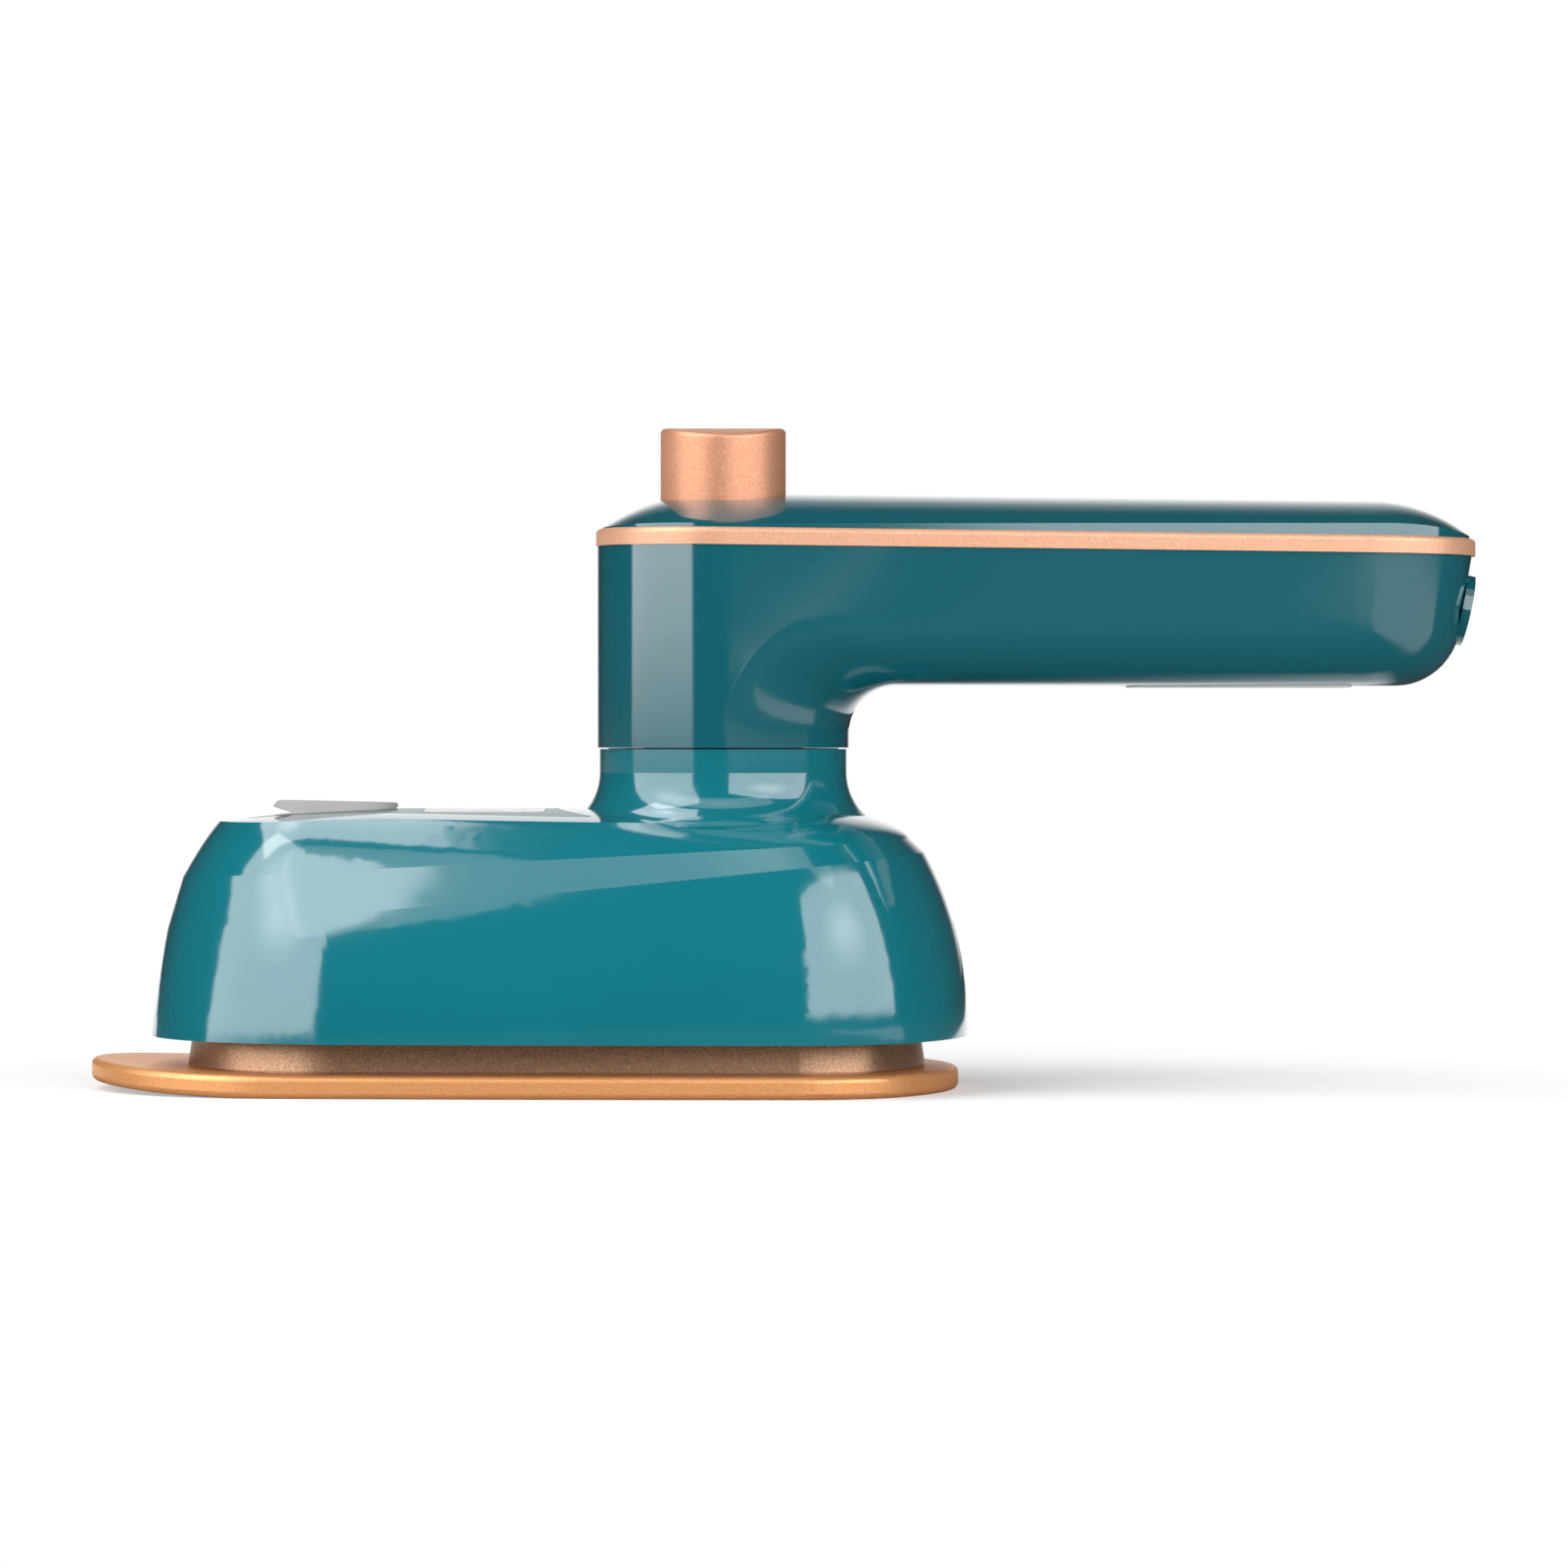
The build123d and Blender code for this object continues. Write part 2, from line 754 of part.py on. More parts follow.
def window_outline(inset):
    """The water window from above."""
    length = window_rear_x - window_front_x - 2 * inset
    with BuildSketch(Plane.XY.offset(crown_z)) as outline:
        with Locations(((window_front_x + window_rear_x) / 2, 0)):
            RectangleRounded(length, 2 * (window_half_width - inset), window_corner)
    return outline.sketch


def inlay(outline, skin=0):
    """A sheet that lies in the crown of the base, as thick as the top panel."""
    with BuildPart() as sheet:
        add(outline)
        extrude(amount=cut_over, both=True)
        add(crown_form(skin), mode=Mode.INTERSECT)
        add(crown_form(panel_thickness), mode=Mode.SUBTRACT)
    return sheet.part


# Base shell: a faceted moulding whose two creases climb from the nose to the neck. The neck stands
# on it with a flared foot, and a collar inside the neck carries the swivel.
with BuildPart() as base_shell:
    add(shell_form(0))
    add(shell_form(shell_wall), mode=Mode.SUBTRACT)
    with BuildSketch(Plane.XZ) as neck_section:
        with BuildLine():
            drop = neck_flare_top_z - neck_flare_foot_z
            foot_x = neck_radius + neck_flare - math.sqrt(neck_flare**2 - drop**2)
            inner = neck_radius - shell_wall
            foot_z = neck_flare_foot_z - shell_wall
            Polyline((inner, foot_z), (inner, neck_top_z), (neck_radius, neck_top_z))
            Line((neck_radius, neck_top_z), (neck_radius, neck_flare_top_z))
            TangentArc(
                (neck_radius, neck_flare_top_z), (foot_x, neck_flare_foot_z), tangent=(0, -1)
            )
            Polyline((foot_x, neck_flare_foot_z), (foot_x, foot_z), (inner, foot_z))
        make_face()
    revolve(axis=Axis.Z)
    add(post(0, 0, rim_z, collar_foot_z, neck_radius - shell_wall), mode=Mode.SUBTRACT)
    add(tube(0, 0, collar_foot_z, neck_top_z, neck_radius - part_gap, spigot_radius + swivel_fit))
    washer_seat = tube(0, 0, neck_top_z - washer_recess, neck_top_z, washer_radius, spigot_radius)
    add(washer_seat, mode=Mode.SUBTRACT)
    for x, y in base_screw_places:
        add(post(x, y, post_foot_z, crown_z - shell_wall, post_radius))
        add(
            post(x, y, post_foot_z + screw_head, crown_z, screw_head_radius + screw_gap),
            mode=Mode.SUBTRACT,
        )
        add(post(x, y, rim_z, crown_z, screw_radius + screw_gap), mode=Mode.SUBTRACT)
    add(post(filler_x, 0, filler_neck_z, crown_z, filler_bore), mode=Mode.SUBTRACT)
    add(inlay(panel_outline(-panel_gap)), mode=Mode.SUBTRACT)
    add(window_outline(window_ledge))
    extrude(amount=-shell_wall - filler_neck_gap, mode=Mode.SUBTRACT)
write("base_shell", base_shell.part)

# Top panel: the inlay, open for the water window and the filler.
with BuildPart() as top_panel:
    add(inlay(panel_outline(0)))
    add(window_outline(0))
    extrude(amount=cut_over, both=True, mode=Mode.SUBTRACT)
    add(post(filler_x, 0, filler_neck_z, crown_z, filler_bore), mode=Mode.SUBTRACT)
write("top_panel", top_panel.part)

# Water window: a clear plate in the panel that shows the tank below it.
write("water_window", inlay(window_outline(part_gap)))

# Water tank: fills the front of the shell between the front post and the rear ones, with the filler
# neck on top and the outlet at the foot of its rear wall.
tank_length = tank_rear_x - tank_front_x


def tank_form(skin):
    """The tank as a solid, or a form one skin inside it."""
    lean = math.radians(tank_lean)
    inset = tank_inset + skin * (1 + math.sin(lean)) / math.cos(lean)
    floor = Plane.XY.offset(tank_floor_z + skin)
    with BuildPart() as form:
        add(egg(
            floor,
            rim_front_reach - inset,
            rim_rear_reach - inset,
            rim_half_width - inset,
            (rim_nose_radius - inset) * tank_nose_share,
        ))
        extrude(amount=tank_top_z - tank_floor_z - 2 * skin, taper=tank_lean)
        with BuildSketch(floor):
            with Locations(((tank_front_x + tank_rear_x) / 2, 0)):
                Rectangle(tank_length - 2 * skin, 2 * rim_half_width)
        extrude(amount=tank_top_z - tank_floor_z - 2 * skin, mode=Mode.INTERSECT)
    return form.part


with BuildPart() as water_tank:
    add(tank_form(0))
    add(tank_form(tank_wall), mode=Mode.SUBTRACT)
    filler_outer = filler_bore + filler_wall
    add(post(filler_x, 0, tank_top_z - tank_wall, filler_neck_z, filler_outer))
    add(post(filler_x, 0, tank_top_z - 2 * tank_wall, filler_neck_z, filler_bore), mode=Mode.SUBTRACT)
    outlet_start = Plane((tank_rear_x - tank_wall, port_y, port_z), z_dir=(1, 0, 0))
    add(lying_rod(outlet_start, outlet_length, port_radius))
    add(lying_rod(outlet_start, outlet_length, port_bore), mode=Mode.SUBTRACT)
write("water_tank", water_tank.part)

# Filler plug: a soft plug with a tapered stem and a lifting tab at its front. Its head lies on the
# crown and ends in the tether that it swings on.
plug_length = plug_hinge_x - plug_front_x
plug_middle_x = (plug_hinge_x + plug_front_x) / 2
with BuildPart() as filler_plug:
    with BuildSketch(Plane.XZ):
        with BuildLine():
            low_z = crown_z - cover_wall
            end_low_z = plug_hinge_z - plug_end_round
            end_top_z = plug_hinge_z + plug_end_round
            Polyline(
                (plug_hinge_x, end_top_z),
                (plug_front_x + plug_notch_height, plug_front_z),
                (plug_front_x, plug_front_z - plug_notch_height),
                (plug_front_x + plug_notch_depth, plug_front_z - 2 * plug_notch_height),
                (plug_front_x + plug_lip, plug_front_z - 2 * plug_notch_height - plug_lip),
                (plug_front_x + plug_lip, low_z),
                (plug_hinge_x, low_z),
            )
            Line((plug_hinge_x, low_z), (plug_hinge_x, end_low_z))
            ThreePointArc(
                (plug_hinge_x, end_low_z),
                (plug_hinge_x + plug_end_round, plug_hinge_z),
                (plug_hinge_x, end_top_z),
            )
        make_face()
    extrude(amount=plug_half_width, both=True)
    with BuildSketch(Plane.XY.offset(crown_z)):
        with Locations((plug_middle_x + plug_end_round / 2, 0)):
            SlotOverall(plug_length + plug_end_round, 2 * plug_half_width)
    extrude(amount=cut_over, both=True, mode=Mode.INTERSECT)
    add(crown_form(-hose_fit), mode=Mode.SUBTRACT)
    stem_top_z = crown_z + plug_lip
    stem_foot_z = stem_top_z - plug_stem_length - plug_lip
    with BuildSketch(Plane.XY.offset(stem_top_z)):
        with Locations((filler_x, 0)):
            Circle(plug_stem_radius)
    with BuildSketch(Plane.XY.offset(stem_foot_z)):
        with Locations((filler_x, 0)):
            Circle(plug_stem_tip_radius)
    loft()
write("filler_plug", filler_plug.part)

# Pump body: a cylinder on a round foot in the plate's socket, with a suction and a delivery port.
with BuildPart() as pump_body:
    add(post(0, 0, plate_top_z, plate_top_z + pump_foot, pump_foot_radius))
    add(post(0, 0, plate_top_z, pump_top_z, pump_radius))
    add(post(0, 0, pump_chamber_z, pump_top_z, pump_bore), mode=Mode.SUBTRACT)
    for side in (-1, 1):
        port_plane = Plane((0, side * port_y, port_z), z_dir=(-1, 0, 0))
        add(lying_rod(port_plane, -port_end_x, port_radius))
        add(lying_rod(port_plane, -port_end_x, port_bore), mode=Mode.SUBTRACT)
        add(lying_rod(port_plane, -valve_pocket_x, valve_pocket), mode=Mode.SUBTRACT)
        riser = post(-valve_port, side * port_y, port_z, pump_chamber_z, valve_port)
        add(riser, mode=Mode.SUBTRACT)
write("pump_body", pump_body.part)

# Valve balls: one in each port's pocket.
with BuildPart() as pump_valves:
    ball_x = valve_pocket_x + valve_ball + part_gap
    with Locations((ball_x, -port_y, port_z), (ball_x, port_y, port_z)):
        Sphere(valve_ball)
write("pump_valves", pump_valves.part)

# Pump cap: screws over the cylinder and guides the rod.
with BuildPart() as pump_cap:
    cap_top_z = pump_top_z + pump_cap_top
    cap_outer = pump_radius + hose_fit + pump_cap_wall
    add(tube(0, 0, pump_top_z - pump_cap_skirt, pump_top_z, cap_outer, pump_radius + hose_fit))
    add(tube(0, 0, pump_top_z, cap_top_z, cap_outer, rod_radius + rod_fit))
write("pump_cap", pump_cap.part)

# Hoses: soft tubes from the tank to the pump, and from the pump down to the chamber.
hose_bore = port_radius + hose_fit
suction_start = Plane((tank_rear_x + part_gap, port_y, port_z), z_dir=(1, 0, 0))
suction_length = hose_start_x - tank_rear_x - part_gap
write("suction_tube", lying_rod(suction_start, suction_length, hose_radius, hose_bore))

with BuildPart() as drip_tube:
    with BuildLine() as drip_path:
        FilletPolyline(
            (hose_start_x, -port_y, port_z),
            (nipple_x, -port_y, port_z),
            (nipple_x, -port_y, block_top_z + part_gap),
            radius=hose_bend,
        )
    with BuildSketch(Plane(origin=drip_path.line @ 0, z_dir=drip_path.line % 0)):
        Circle(hose_radius)
        Circle(hose_bore, mode=Mode.SUBTRACT)
    sweep(path=drip_path.line)
write("drip_tube", drip_tube.part)

# Swivel washer: lies in the top of the neck, under the handle.
washer_z = neck_top_z - washer_recess
washer_bore = spigot_radius + part_gap
washer = tube(0, 0, washer_z, washer_z + washer_thickness, washer_radius - part_gap, washer_bore)
write("swivel_washer", washer)

# Swivel spigot: hangs by its flange from the floor of the handle's neck, turns in the collar and has
# a groove for the retaining ring.
screw_circle = (spigot_radius + spigot_flange_radius) / 2
ring_top_z = collar_foot_z - part_gap
ring_foot_z = ring_top_z - retainer_thickness
groove_radius = spigot_radius - ring_groove_depth
with BuildPart() as swivel_spigot:
    add(tube(0, 0, spigot_foot_z, flange_top_z, spigot_radius, spigot_bore))
    add(tube(0, 0, handle_floor_z, flange_top_z, spigot_flange_radius, spigot_bore))
    groove_foot_z = ring_foot_z - hose_fit
    add(
        tube(0, 0, groove_foot_z, collar_foot_z, spigot_radius, groove_radius), mode=Mode.SUBTRACT
    )
    with BuildSketch(Plane.XY.offset(handle_floor_z)):
        with PolarLocations(screw_circle, spigot_screw_count):
            Circle(screw_radius + screw_gap)
    extrude(amount=spigot_flange, mode=Mode.SUBTRACT)
write("swivel_spigot", swivel_spigot.part)

# Retaining ring: a sprung open ring in the spigot's groove, under the collar.
with BuildPart() as retaining_ring:
    add(tube(0, 0, ring_foot_z, ring_top_z, retainer_radius, groove_radius + hose_fit))
    with BuildSketch(Plane.XY.offset(ring_foot_z)):
        with BuildLine():
            gap_start = PolarLine((0, 0), 2 * retainer_radius, 180 - ring_gap_angle / 2)
            gap_end = PolarLine((0, 0), 2 * retainer_radius, 180 + ring_gap_angle / 2)
            Line(gap_start @ 1, gap_end @ 1)
        make_face()
    extrude(amount=retainer_thickness, mode=Mode.SUBTRACT)
write("retaining_ring", retaining_ring.part)

# Guide plate: lies on the spigot's flange, guides the rod and seats the spring.
with BuildPart() as guide_plate:
    add(post(0, 0, flange_top_z, guide_top_z, spigot_flange_radius))
    add(post(0, 0, guide_top_z, guide_top_z + guide_boss_height, guide_boss_radius))
    with BuildSketch(Plane.XY.offset(flange_top_z)):
        Circle(rod_radius + rod_fit)
        with PolarLocations(screw_circle, spigot_screw_count):
            Circle(screw_radius + screw_gap)
        with PolarLocations(spigot_bore - wire_hole_radius, 2, start_angle=90):
            Circle(wire_hole_radius)
    extrude(amount=cut_over, mode=Mode.SUBTRACT)
write("guide_plate", guide_plate.part)

with BuildPart() as spigot_screws:
    for place in PolarLocations(screw_circle, spigot_screw_count):
        x, y = place.position.X, place.position.Y
        add(screw(x, y, guide_top_z, handle_foot_z + spigot_screw_skin))
write("spigot_screws", spigot_screws.part)

# Handle shell: neck and grip in one open trough. The crook under the grip sweeps round the neck.
cover_posts = (cover_post_x, cover_post_end_x)
head_seat_z = grip_floor_z + part_gap


def crook_form():
    """The round neck below the grip, swept out into the grip's underside."""
    with BuildPart() as form:
        with BuildSketch(Plane.XZ):
            with BuildLine():
                reach = handle_neck_radius + crook_radius
                top_z = underside_z + underside_round + crook_rise
                Polyline((0, top_z), (0, handle_foot_z), (handle_neck_radius, handle_foot_z))
                Line((handle_neck_radius, handle_foot_z), (handle_neck_radius, underside_z - crook_radius))
                RadiusArc(
                    (handle_neck_radius, underside_z - crook_radius), (reach, underside_z), crook_radius
                )
                RadiusArc((reach, underside_z), (handle_neck_radius, top_z), underside_round + crook_rise)
                Line((handle_neck_radius, top_z), (0, top_z))
            make_face()
        revolve(axis=Axis.Z)
        levels = [grip_level(handle_foot_z, 0), grip_level(rim_top_z, 0)]
        loft(sections=levels, ruled=True, mode=Mode.INTERSECT)
        with BuildSketch(Plane.XY.offset(handle_foot_z)):
            wide_neck = handle_neck_radius + part_gap
            add(grip_outline(Plane.XY, wide_neck, crook_end_x, crook_end_radius))
        extrude(amount=rim_top_z, mode=Mode.INTERSECT)
    return form.part


with BuildPart() as handle_shell:
    add(grip_form(0))
    add(crook_form())
    add(grip_form(handle_wall), mode=Mode.SUBTRACT)
    neck_bore = handle_neck_radius - handle_wall
    add(post(0, 0, handle_floor_z, grip_floor_z + handle_wall, neck_bore), mode=Mode.SUBTRACT)
    split(bisect_by=deck, keep=Keep.BOTTOM)
    add(
        post(0, 0, handle_foot_z, handle_floor_z, spigot_radius + swivel_fit), mode=Mode.SUBTRACT
    )
    for place in PolarLocations(screw_circle, spigot_screw_count):
        x, y = place.position.X, place.position.Y
        low_z = handle_foot_z + spigot_screw_skin
        add(post(x, y, low_z, handle_floor_z, screw_radius), mode=Mode.SUBTRACT)
    for x in cover_posts:
        add(post(x, 0, underside_z, cover_socket_z, cover_post_radius + cover_socket_wall))
    with BuildSketch(Plane.XY.offset(grip_floor_z)):
        with Locations((clamp_x, 0)):
            Rectangle(clamp_length, clamp_width)
    extrude(amount=clamp_saddle_z - clamp_gap / 2 - grip_floor_z)
    saddle = Plane((clamp_x - clamp_length, 0, clamp_saddle_z), z_dir=(1, 0, 0))
    add(lying_rod(saddle, 2 * clamp_length, cord_bore), mode=Mode.SUBTRACT)
    for y in (-clamp_screw_y, clamp_screw_y):
        add(post(clamp_x, y, grip_floor_z, clamp_saddle_z, screw_radius), mode=Mode.SUBTRACT)
    for x in cover_posts:
        add(
            post(x, 0, underside_z, head_seat_z + screw_gap, screw_head_radius + screw_gap),
            mode=Mode.SUBTRACT,
        )
        add(post(x, 0, underside_z, cover_socket_z, screw_radius + screw_gap), mode=Mode.SUBTRACT)
    label_middle_x = (label_front_x + label_rear_x) / 2
    label_length = label_rear_x - label_front_x
    with BuildSketch(Plane.XY.offset(underside_z)):
        with Locations((label_middle_x, 0)):
            RectangleRounded(label_length, 2 * label_half_width, label_corner)
    extrude(amount=label_recess, mode=Mode.SUBTRACT)
    pad_seat = gland_face.offset(-gland_pad)
    add(lying_rod(pad_seat, cut_over, gland_pad_radius + hose_fit), mode=Mode.SUBTRACT)
    shank_start = gland_face.offset(-gland_length)
    add(lying_rod(shank_start, gland_length, gland_shank_radius + hose_fit), mode=Mode.SUBTRACT)
write("handle_shell", handle_shell.part)

# Label plate: a thin bare plate stuck in the recess under the grip.
with BuildPart() as label_plate:
    with BuildSketch(Plane.XY.offset(underside_z - label_proud)):
        with Locations((label_middle_x, 0)):
            half_width = label_half_width - label_gap
            RectangleRounded(label_length - 2 * label_gap, 2 * half_width, label_corner)
    extrude(amount=label_recess + label_proud)
write("label_plate", label_plate.part)

# Trim ring: a band that lies on the handle's rim.
with BuildPart() as trim_ring:
    add(deck_outline(deck, -trim_proud))
    extrude(amount=trim_height)
    fillet(trim_ring.faces().sort_by(Axis.Z)[-1].edges(), trim_round)
    add(deck_outline(deck, trim_inset))
    extrude(amount=trim_height, mode=Mode.SUBTRACT)
write("trim_ring", trim_ring.part)

# Handle cover: a dome on the trim, with a lip inside it, a guide for the button and two screw posts.
button_hole = button_radius + button_clearance
guide_foot_z = button_flange_z + button_flange + button_clearance
lip_inset = handle_wall + lip_gap
with BuildPart() as cover_core:
    add(deck_outline(trim_top.offset(-cut_over), cover_inset + cover_wall))
    extrude(amount=2 * cut_over)
    add(dome_form(cover_wall), mode=Mode.INTERSECT)
with BuildPart() as cover_fill:
    add(deck_outline(trim_top, cover_inset))
    extrude(amount=cover_height)
    add(dome_form(0), mode=Mode.INTERSECT)
with BuildPart() as cover_fittings:
    add(post(0, 0, guide_foot_z, button_top_z, button_hole + guide_wall))
    for x in cover_posts:
        add(post(x, 0, cover_socket_z + part_gap, button_top_z, cover_post_radius))
    add(dome_form(cover_wall / 2), mode=Mode.INTERSECT)
with BuildPart() as cover_lip:
    add(deck_outline(deck.offset(-lip_depth), lip_inset))
    extrude(amount=lip_depth + trim_height + cover_wall / 2)
    add(deck_outline(deck.offset(-lip_depth), lip_inset + lip_wall))
    extrude(amount=lip_depth + trim_height + cover_wall, mode=Mode.SUBTRACT)
with BuildPart() as handle_cover:
    add(cover_fill.part)
    add(cover_core.part, mode=Mode.SUBTRACT)
    add(cover_lip.part)
    add(cover_fittings.part)
    add(post(0, 0, handle_floor_z, button_top_z, button_hole), mode=Mode.SUBTRACT)
    for x in cover_posts:
        add(post(x, 0, cover_socket_z, cover_socket_z + cover_screw_grip, screw_radius), mode=Mode.SUBTRACT)
write("handle_cover", handle_cover.part)

with BuildPart() as cover_screws:
    for x in cover_posts:
        add(screw(x, 0, head_seat_z + screw_gap, cover_socket_z + cover_screw_grip - part_gap, -1))
write("cover_screws", cover_screws.part)

# Steam button: a hollow cap with a flange that stops it under the cover, and a hub for the rod.
ceiling_z = button_top_z - button_ceiling
with BuildPart() as steam_button:
    add(post(0, 0, button_foot_z, button_top_z + cut_over, button_radius))
    crown = Plane((-cut_over, 0, button_top_z - button_crown_radius), z_dir=(1, 0, 0))
    add(lying_rod(crown, 2 * cut_over, button_crown_radius), mode=Mode.INTERSECT)
    fillet(steam_button.faces().sort_by(Axis.Z)[-1].edges(), button_edge_round)
    add(post(0, 0, button_flange_z, button_flange_z + button_flange, button_flange_radius))
    hub_foot_z = ceiling_z - hub_depth
    skirt_bore = button_radius - button_wall
    add(post(0, 0, button_foot_z, ceiling_z, skirt_bore), mode=Mode.SUBTRACT)
    add(tube(0, 0, hub_foot_z, ceiling_z, hub_radius, rod_radius + hose_fit))
write("steam_button", steam_button.part)

# Plunger rod: from the button's hub down through guide plate and pump cap, with a spring collar.
with BuildPart() as plunger_rod:
    add(post(0, 0, piston_foot_z + piston_height, ceiling_z - part_gap, rod_radius))
    add(post(0, 0, rod_collar_z, rod_collar_z + rod_collar, rod_collar_radius))
    add(post(0, 0, piston_foot_z, piston_foot_z + piston_height, piston_stub_radius))
write("plunger_rod", plunger_rod.part)

# Piston seal: a rubber ring on the foot of the rod.
seal_radius = pump_bore - swivel_fit
seal_bore = piston_stub_radius + hose_fit
seal_top_z = piston_foot_z + piston_height
write("piston_seal", tube(0, 0, piston_foot_z, seal_top_z, seal_radius, seal_bore))

# Button spring: one round wire wound from the guide plate up to the collar on the rod.
spring_foot_z = guide_top_z + spring_wire / 2 + hose_fit
spring_rise = rod_collar_z - spring_wire / 2 - hose_fit - spring_foot_z


def spring_place(turn):
    """The wire's centre and direction after so many turns."""
    angle = 2 * math.pi * turn
    place = Vector(
        spring_radius * math.cos(angle),
        spring_radius * math.sin(angle),
        spring_foot_z + spring_rise * turn / spring_turns,
    )
    ahead = Vector(
        -spring_radius * math.sin(angle),
        spring_radius * math.cos(angle),
        spring_rise / spring_turns / (2 * math.pi),
    )
    return place, ahead.normalized()


def arc_middle(start, finish, arrival):
    """The point halfway along the arc that reaches finish in the arrival direction."""
    chord = finish - start
    normal = (chord.cross(arrival)).cross(arrival).normalized()
    radius = chord.length**2 / (2 * abs(chord.dot(normal)))
    center = finish + normal * (radius if chord.dot(normal) < 0 else -radius)
    outward = ((start + finish) / 2 - center).normalized()
    return center + outward * radius


with BuildPart() as button_spring:
    with BuildLine() as wire_path:
        for step in range(turn_steps * spring_turns):
            start, heading = spring_place(step / turn_steps)
            finish, arrival = spring_place((step + 1) / turn_steps)
            chord = finish - start
            spread = 1 - heading.dot(arrival)
            along = chord.dot(heading + arrival)
            reach = (math.sqrt(along**2 + 2 * spread * chord.dot(chord)) - along) / (2 * spread)
            middle = (start + finish) / 2 + (heading - arrival) * (reach / 2)
            TangentArc(start, middle, tangent=heading)
            ThreePointArc(middle, arc_middle(middle, finish, arrival), finish)
    with BuildSketch(Plane(origin=wire_path.line @ 0, z_dir=wire_path.line % 0)):
        Circle(spring_wire / 2)
    sweep(path=wire_path.line)
write("button_spring", button_spring.part)

# Cord gland: a round pad on the end of the grip, snapped through its wall, with the cord's bore.
with BuildPart() as cord_gland:
    add(lying_rod(gland_face.offset(-gland_pad), gland_pad, gland_pad_radius))
    add(lying_rod(gland_face.offset(-gland_length), gland_length, gland_shank_radius))
    add(lying_rod(gland_face.offset(-gland_length), gland_flange, gland_flange_radius))
    add(lying_rod(gland_face.offset(-gland_length), gland_length, cord_bore), mode=Mode.SUBTRACT)
write("cord_gland", cord_gland.part)

# Cord clamp: a bar over the saddle in the grip, held by two screws.
clamp_foot_z = clamp_saddle_z + clamp_gap / 2
clamp_top_z = clamp_foot_z + clamp_bar
with BuildPart() as cord_clamp:
    with BuildSketch(Plane.XY.offset(clamp_foot_z)):
        with Locations((clamp_x, 0)):
            Rectangle(clamp_length, clamp_width)
        with Locations((clamp_x, -clamp_screw_y), (clamp_x, clamp_screw_y)):
            Circle(screw_radius + screw_gap, mode=Mode.SUBTRACT)
    extrude(amount=clamp_bar)
    add(lying_rod(saddle, 2 * clamp_length, cord_bore), mode=Mode.SUBTRACT)
write("cord_clamp", cord_clamp.part)

with BuildPart() as clamp_screws:
    for y in (-clamp_screw_y, clamp_screw_y):
        add(screw(clamp_x, y, clamp_top_z, grip_floor_z + clamp_length))
write("clamp_screws", clamp_screws.part)

# Terminal block: two wire ways through a block that stands on the floor of the grip.
with BuildPart() as terminal_block:
    with BuildSketch(Plane.XY.offset(grip_floor_z)):
        with Locations((terminal_x, 0)):
            Rectangle(terminal_length, terminal_width)
    extrude(amount=terminal_height)
    for side in (-1, 1):
        way = Plane(
            (terminal_x - terminal_length, side * terminal_pitch / 2, grip_floor_z + terminal_height / 2),
            z_dir=(1, 0, 0),
        )
        add(lying_rod(way, 2 * terminal_length, terminal_bore), mode=Mode.SUBTRACT)
        slot_low_z = grip_floor_z + terminal_height / 2
        slot_high_z = grip_floor_z + terminal_height
        screw_way = post(terminal_x, side * terminal_pitch / 2, slot_low_z, slot_high_z, terminal_bore)
        add(screw_way, mode=Mode.SUBTRACT)
write("terminal_block", terminal_block.part)
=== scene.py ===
"""A mini travel steam iron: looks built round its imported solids, section by section as it is assembled."""

import math

import bmesh
import bpy
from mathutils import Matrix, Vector


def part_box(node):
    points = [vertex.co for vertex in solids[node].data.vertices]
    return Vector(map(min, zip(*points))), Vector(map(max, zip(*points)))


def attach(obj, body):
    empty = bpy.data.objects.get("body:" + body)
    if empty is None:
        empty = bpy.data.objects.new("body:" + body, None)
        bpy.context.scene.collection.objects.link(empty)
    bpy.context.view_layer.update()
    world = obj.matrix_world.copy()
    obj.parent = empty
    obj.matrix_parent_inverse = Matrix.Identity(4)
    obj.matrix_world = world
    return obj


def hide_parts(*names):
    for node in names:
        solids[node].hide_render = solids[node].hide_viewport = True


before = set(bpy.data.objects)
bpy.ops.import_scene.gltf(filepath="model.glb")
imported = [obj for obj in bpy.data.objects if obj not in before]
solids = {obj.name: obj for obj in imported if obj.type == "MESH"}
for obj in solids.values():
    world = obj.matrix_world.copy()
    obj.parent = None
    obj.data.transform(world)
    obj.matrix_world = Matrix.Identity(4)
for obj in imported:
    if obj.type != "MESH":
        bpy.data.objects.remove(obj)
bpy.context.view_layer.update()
mm = 0.001

# Sole plate. A pressed aluminium plate with a rose gold ceramic coat, fine metal flake in it. It bows up
# towards its tip, and its rim is rounded and catches the light.


def finish_with(material, *names):
    """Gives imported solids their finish."""
    for name in names:
        slots = solids[name].data.materials
        slots.clear()
        slots.append(material)


def settle(node, values):
    """Sets the even values of a shader node by the names of its sockets."""
    for socket, value in values.items():
        node.inputs[socket].default_value = value


def new_finish(name, values):
    """A material, with its node tree, its shader, and the place on the piece that its textures follow."""
    material = bpy.data.materials.new(name)
    material.use_nodes = True
    tree = material.node_tree
    shader = tree.nodes["Principled BSDF"]
    settle(shader, values)
    place = tree.nodes.new("ShaderNodeTexCoord").outputs["Object"]
    return material, tree, shader, place


def grains(tree, place, scale, detail=2):
    """A noise over the piece. Its scale is the number of grains in a metre."""
    noise = tree.nodes.new("ShaderNodeTexNoise")
    settle(noise, {"Scale": scale, "Detail": detail})
    tree.links.new(place, noise.inputs["Vector"])
    return noise.outputs["Fac"]


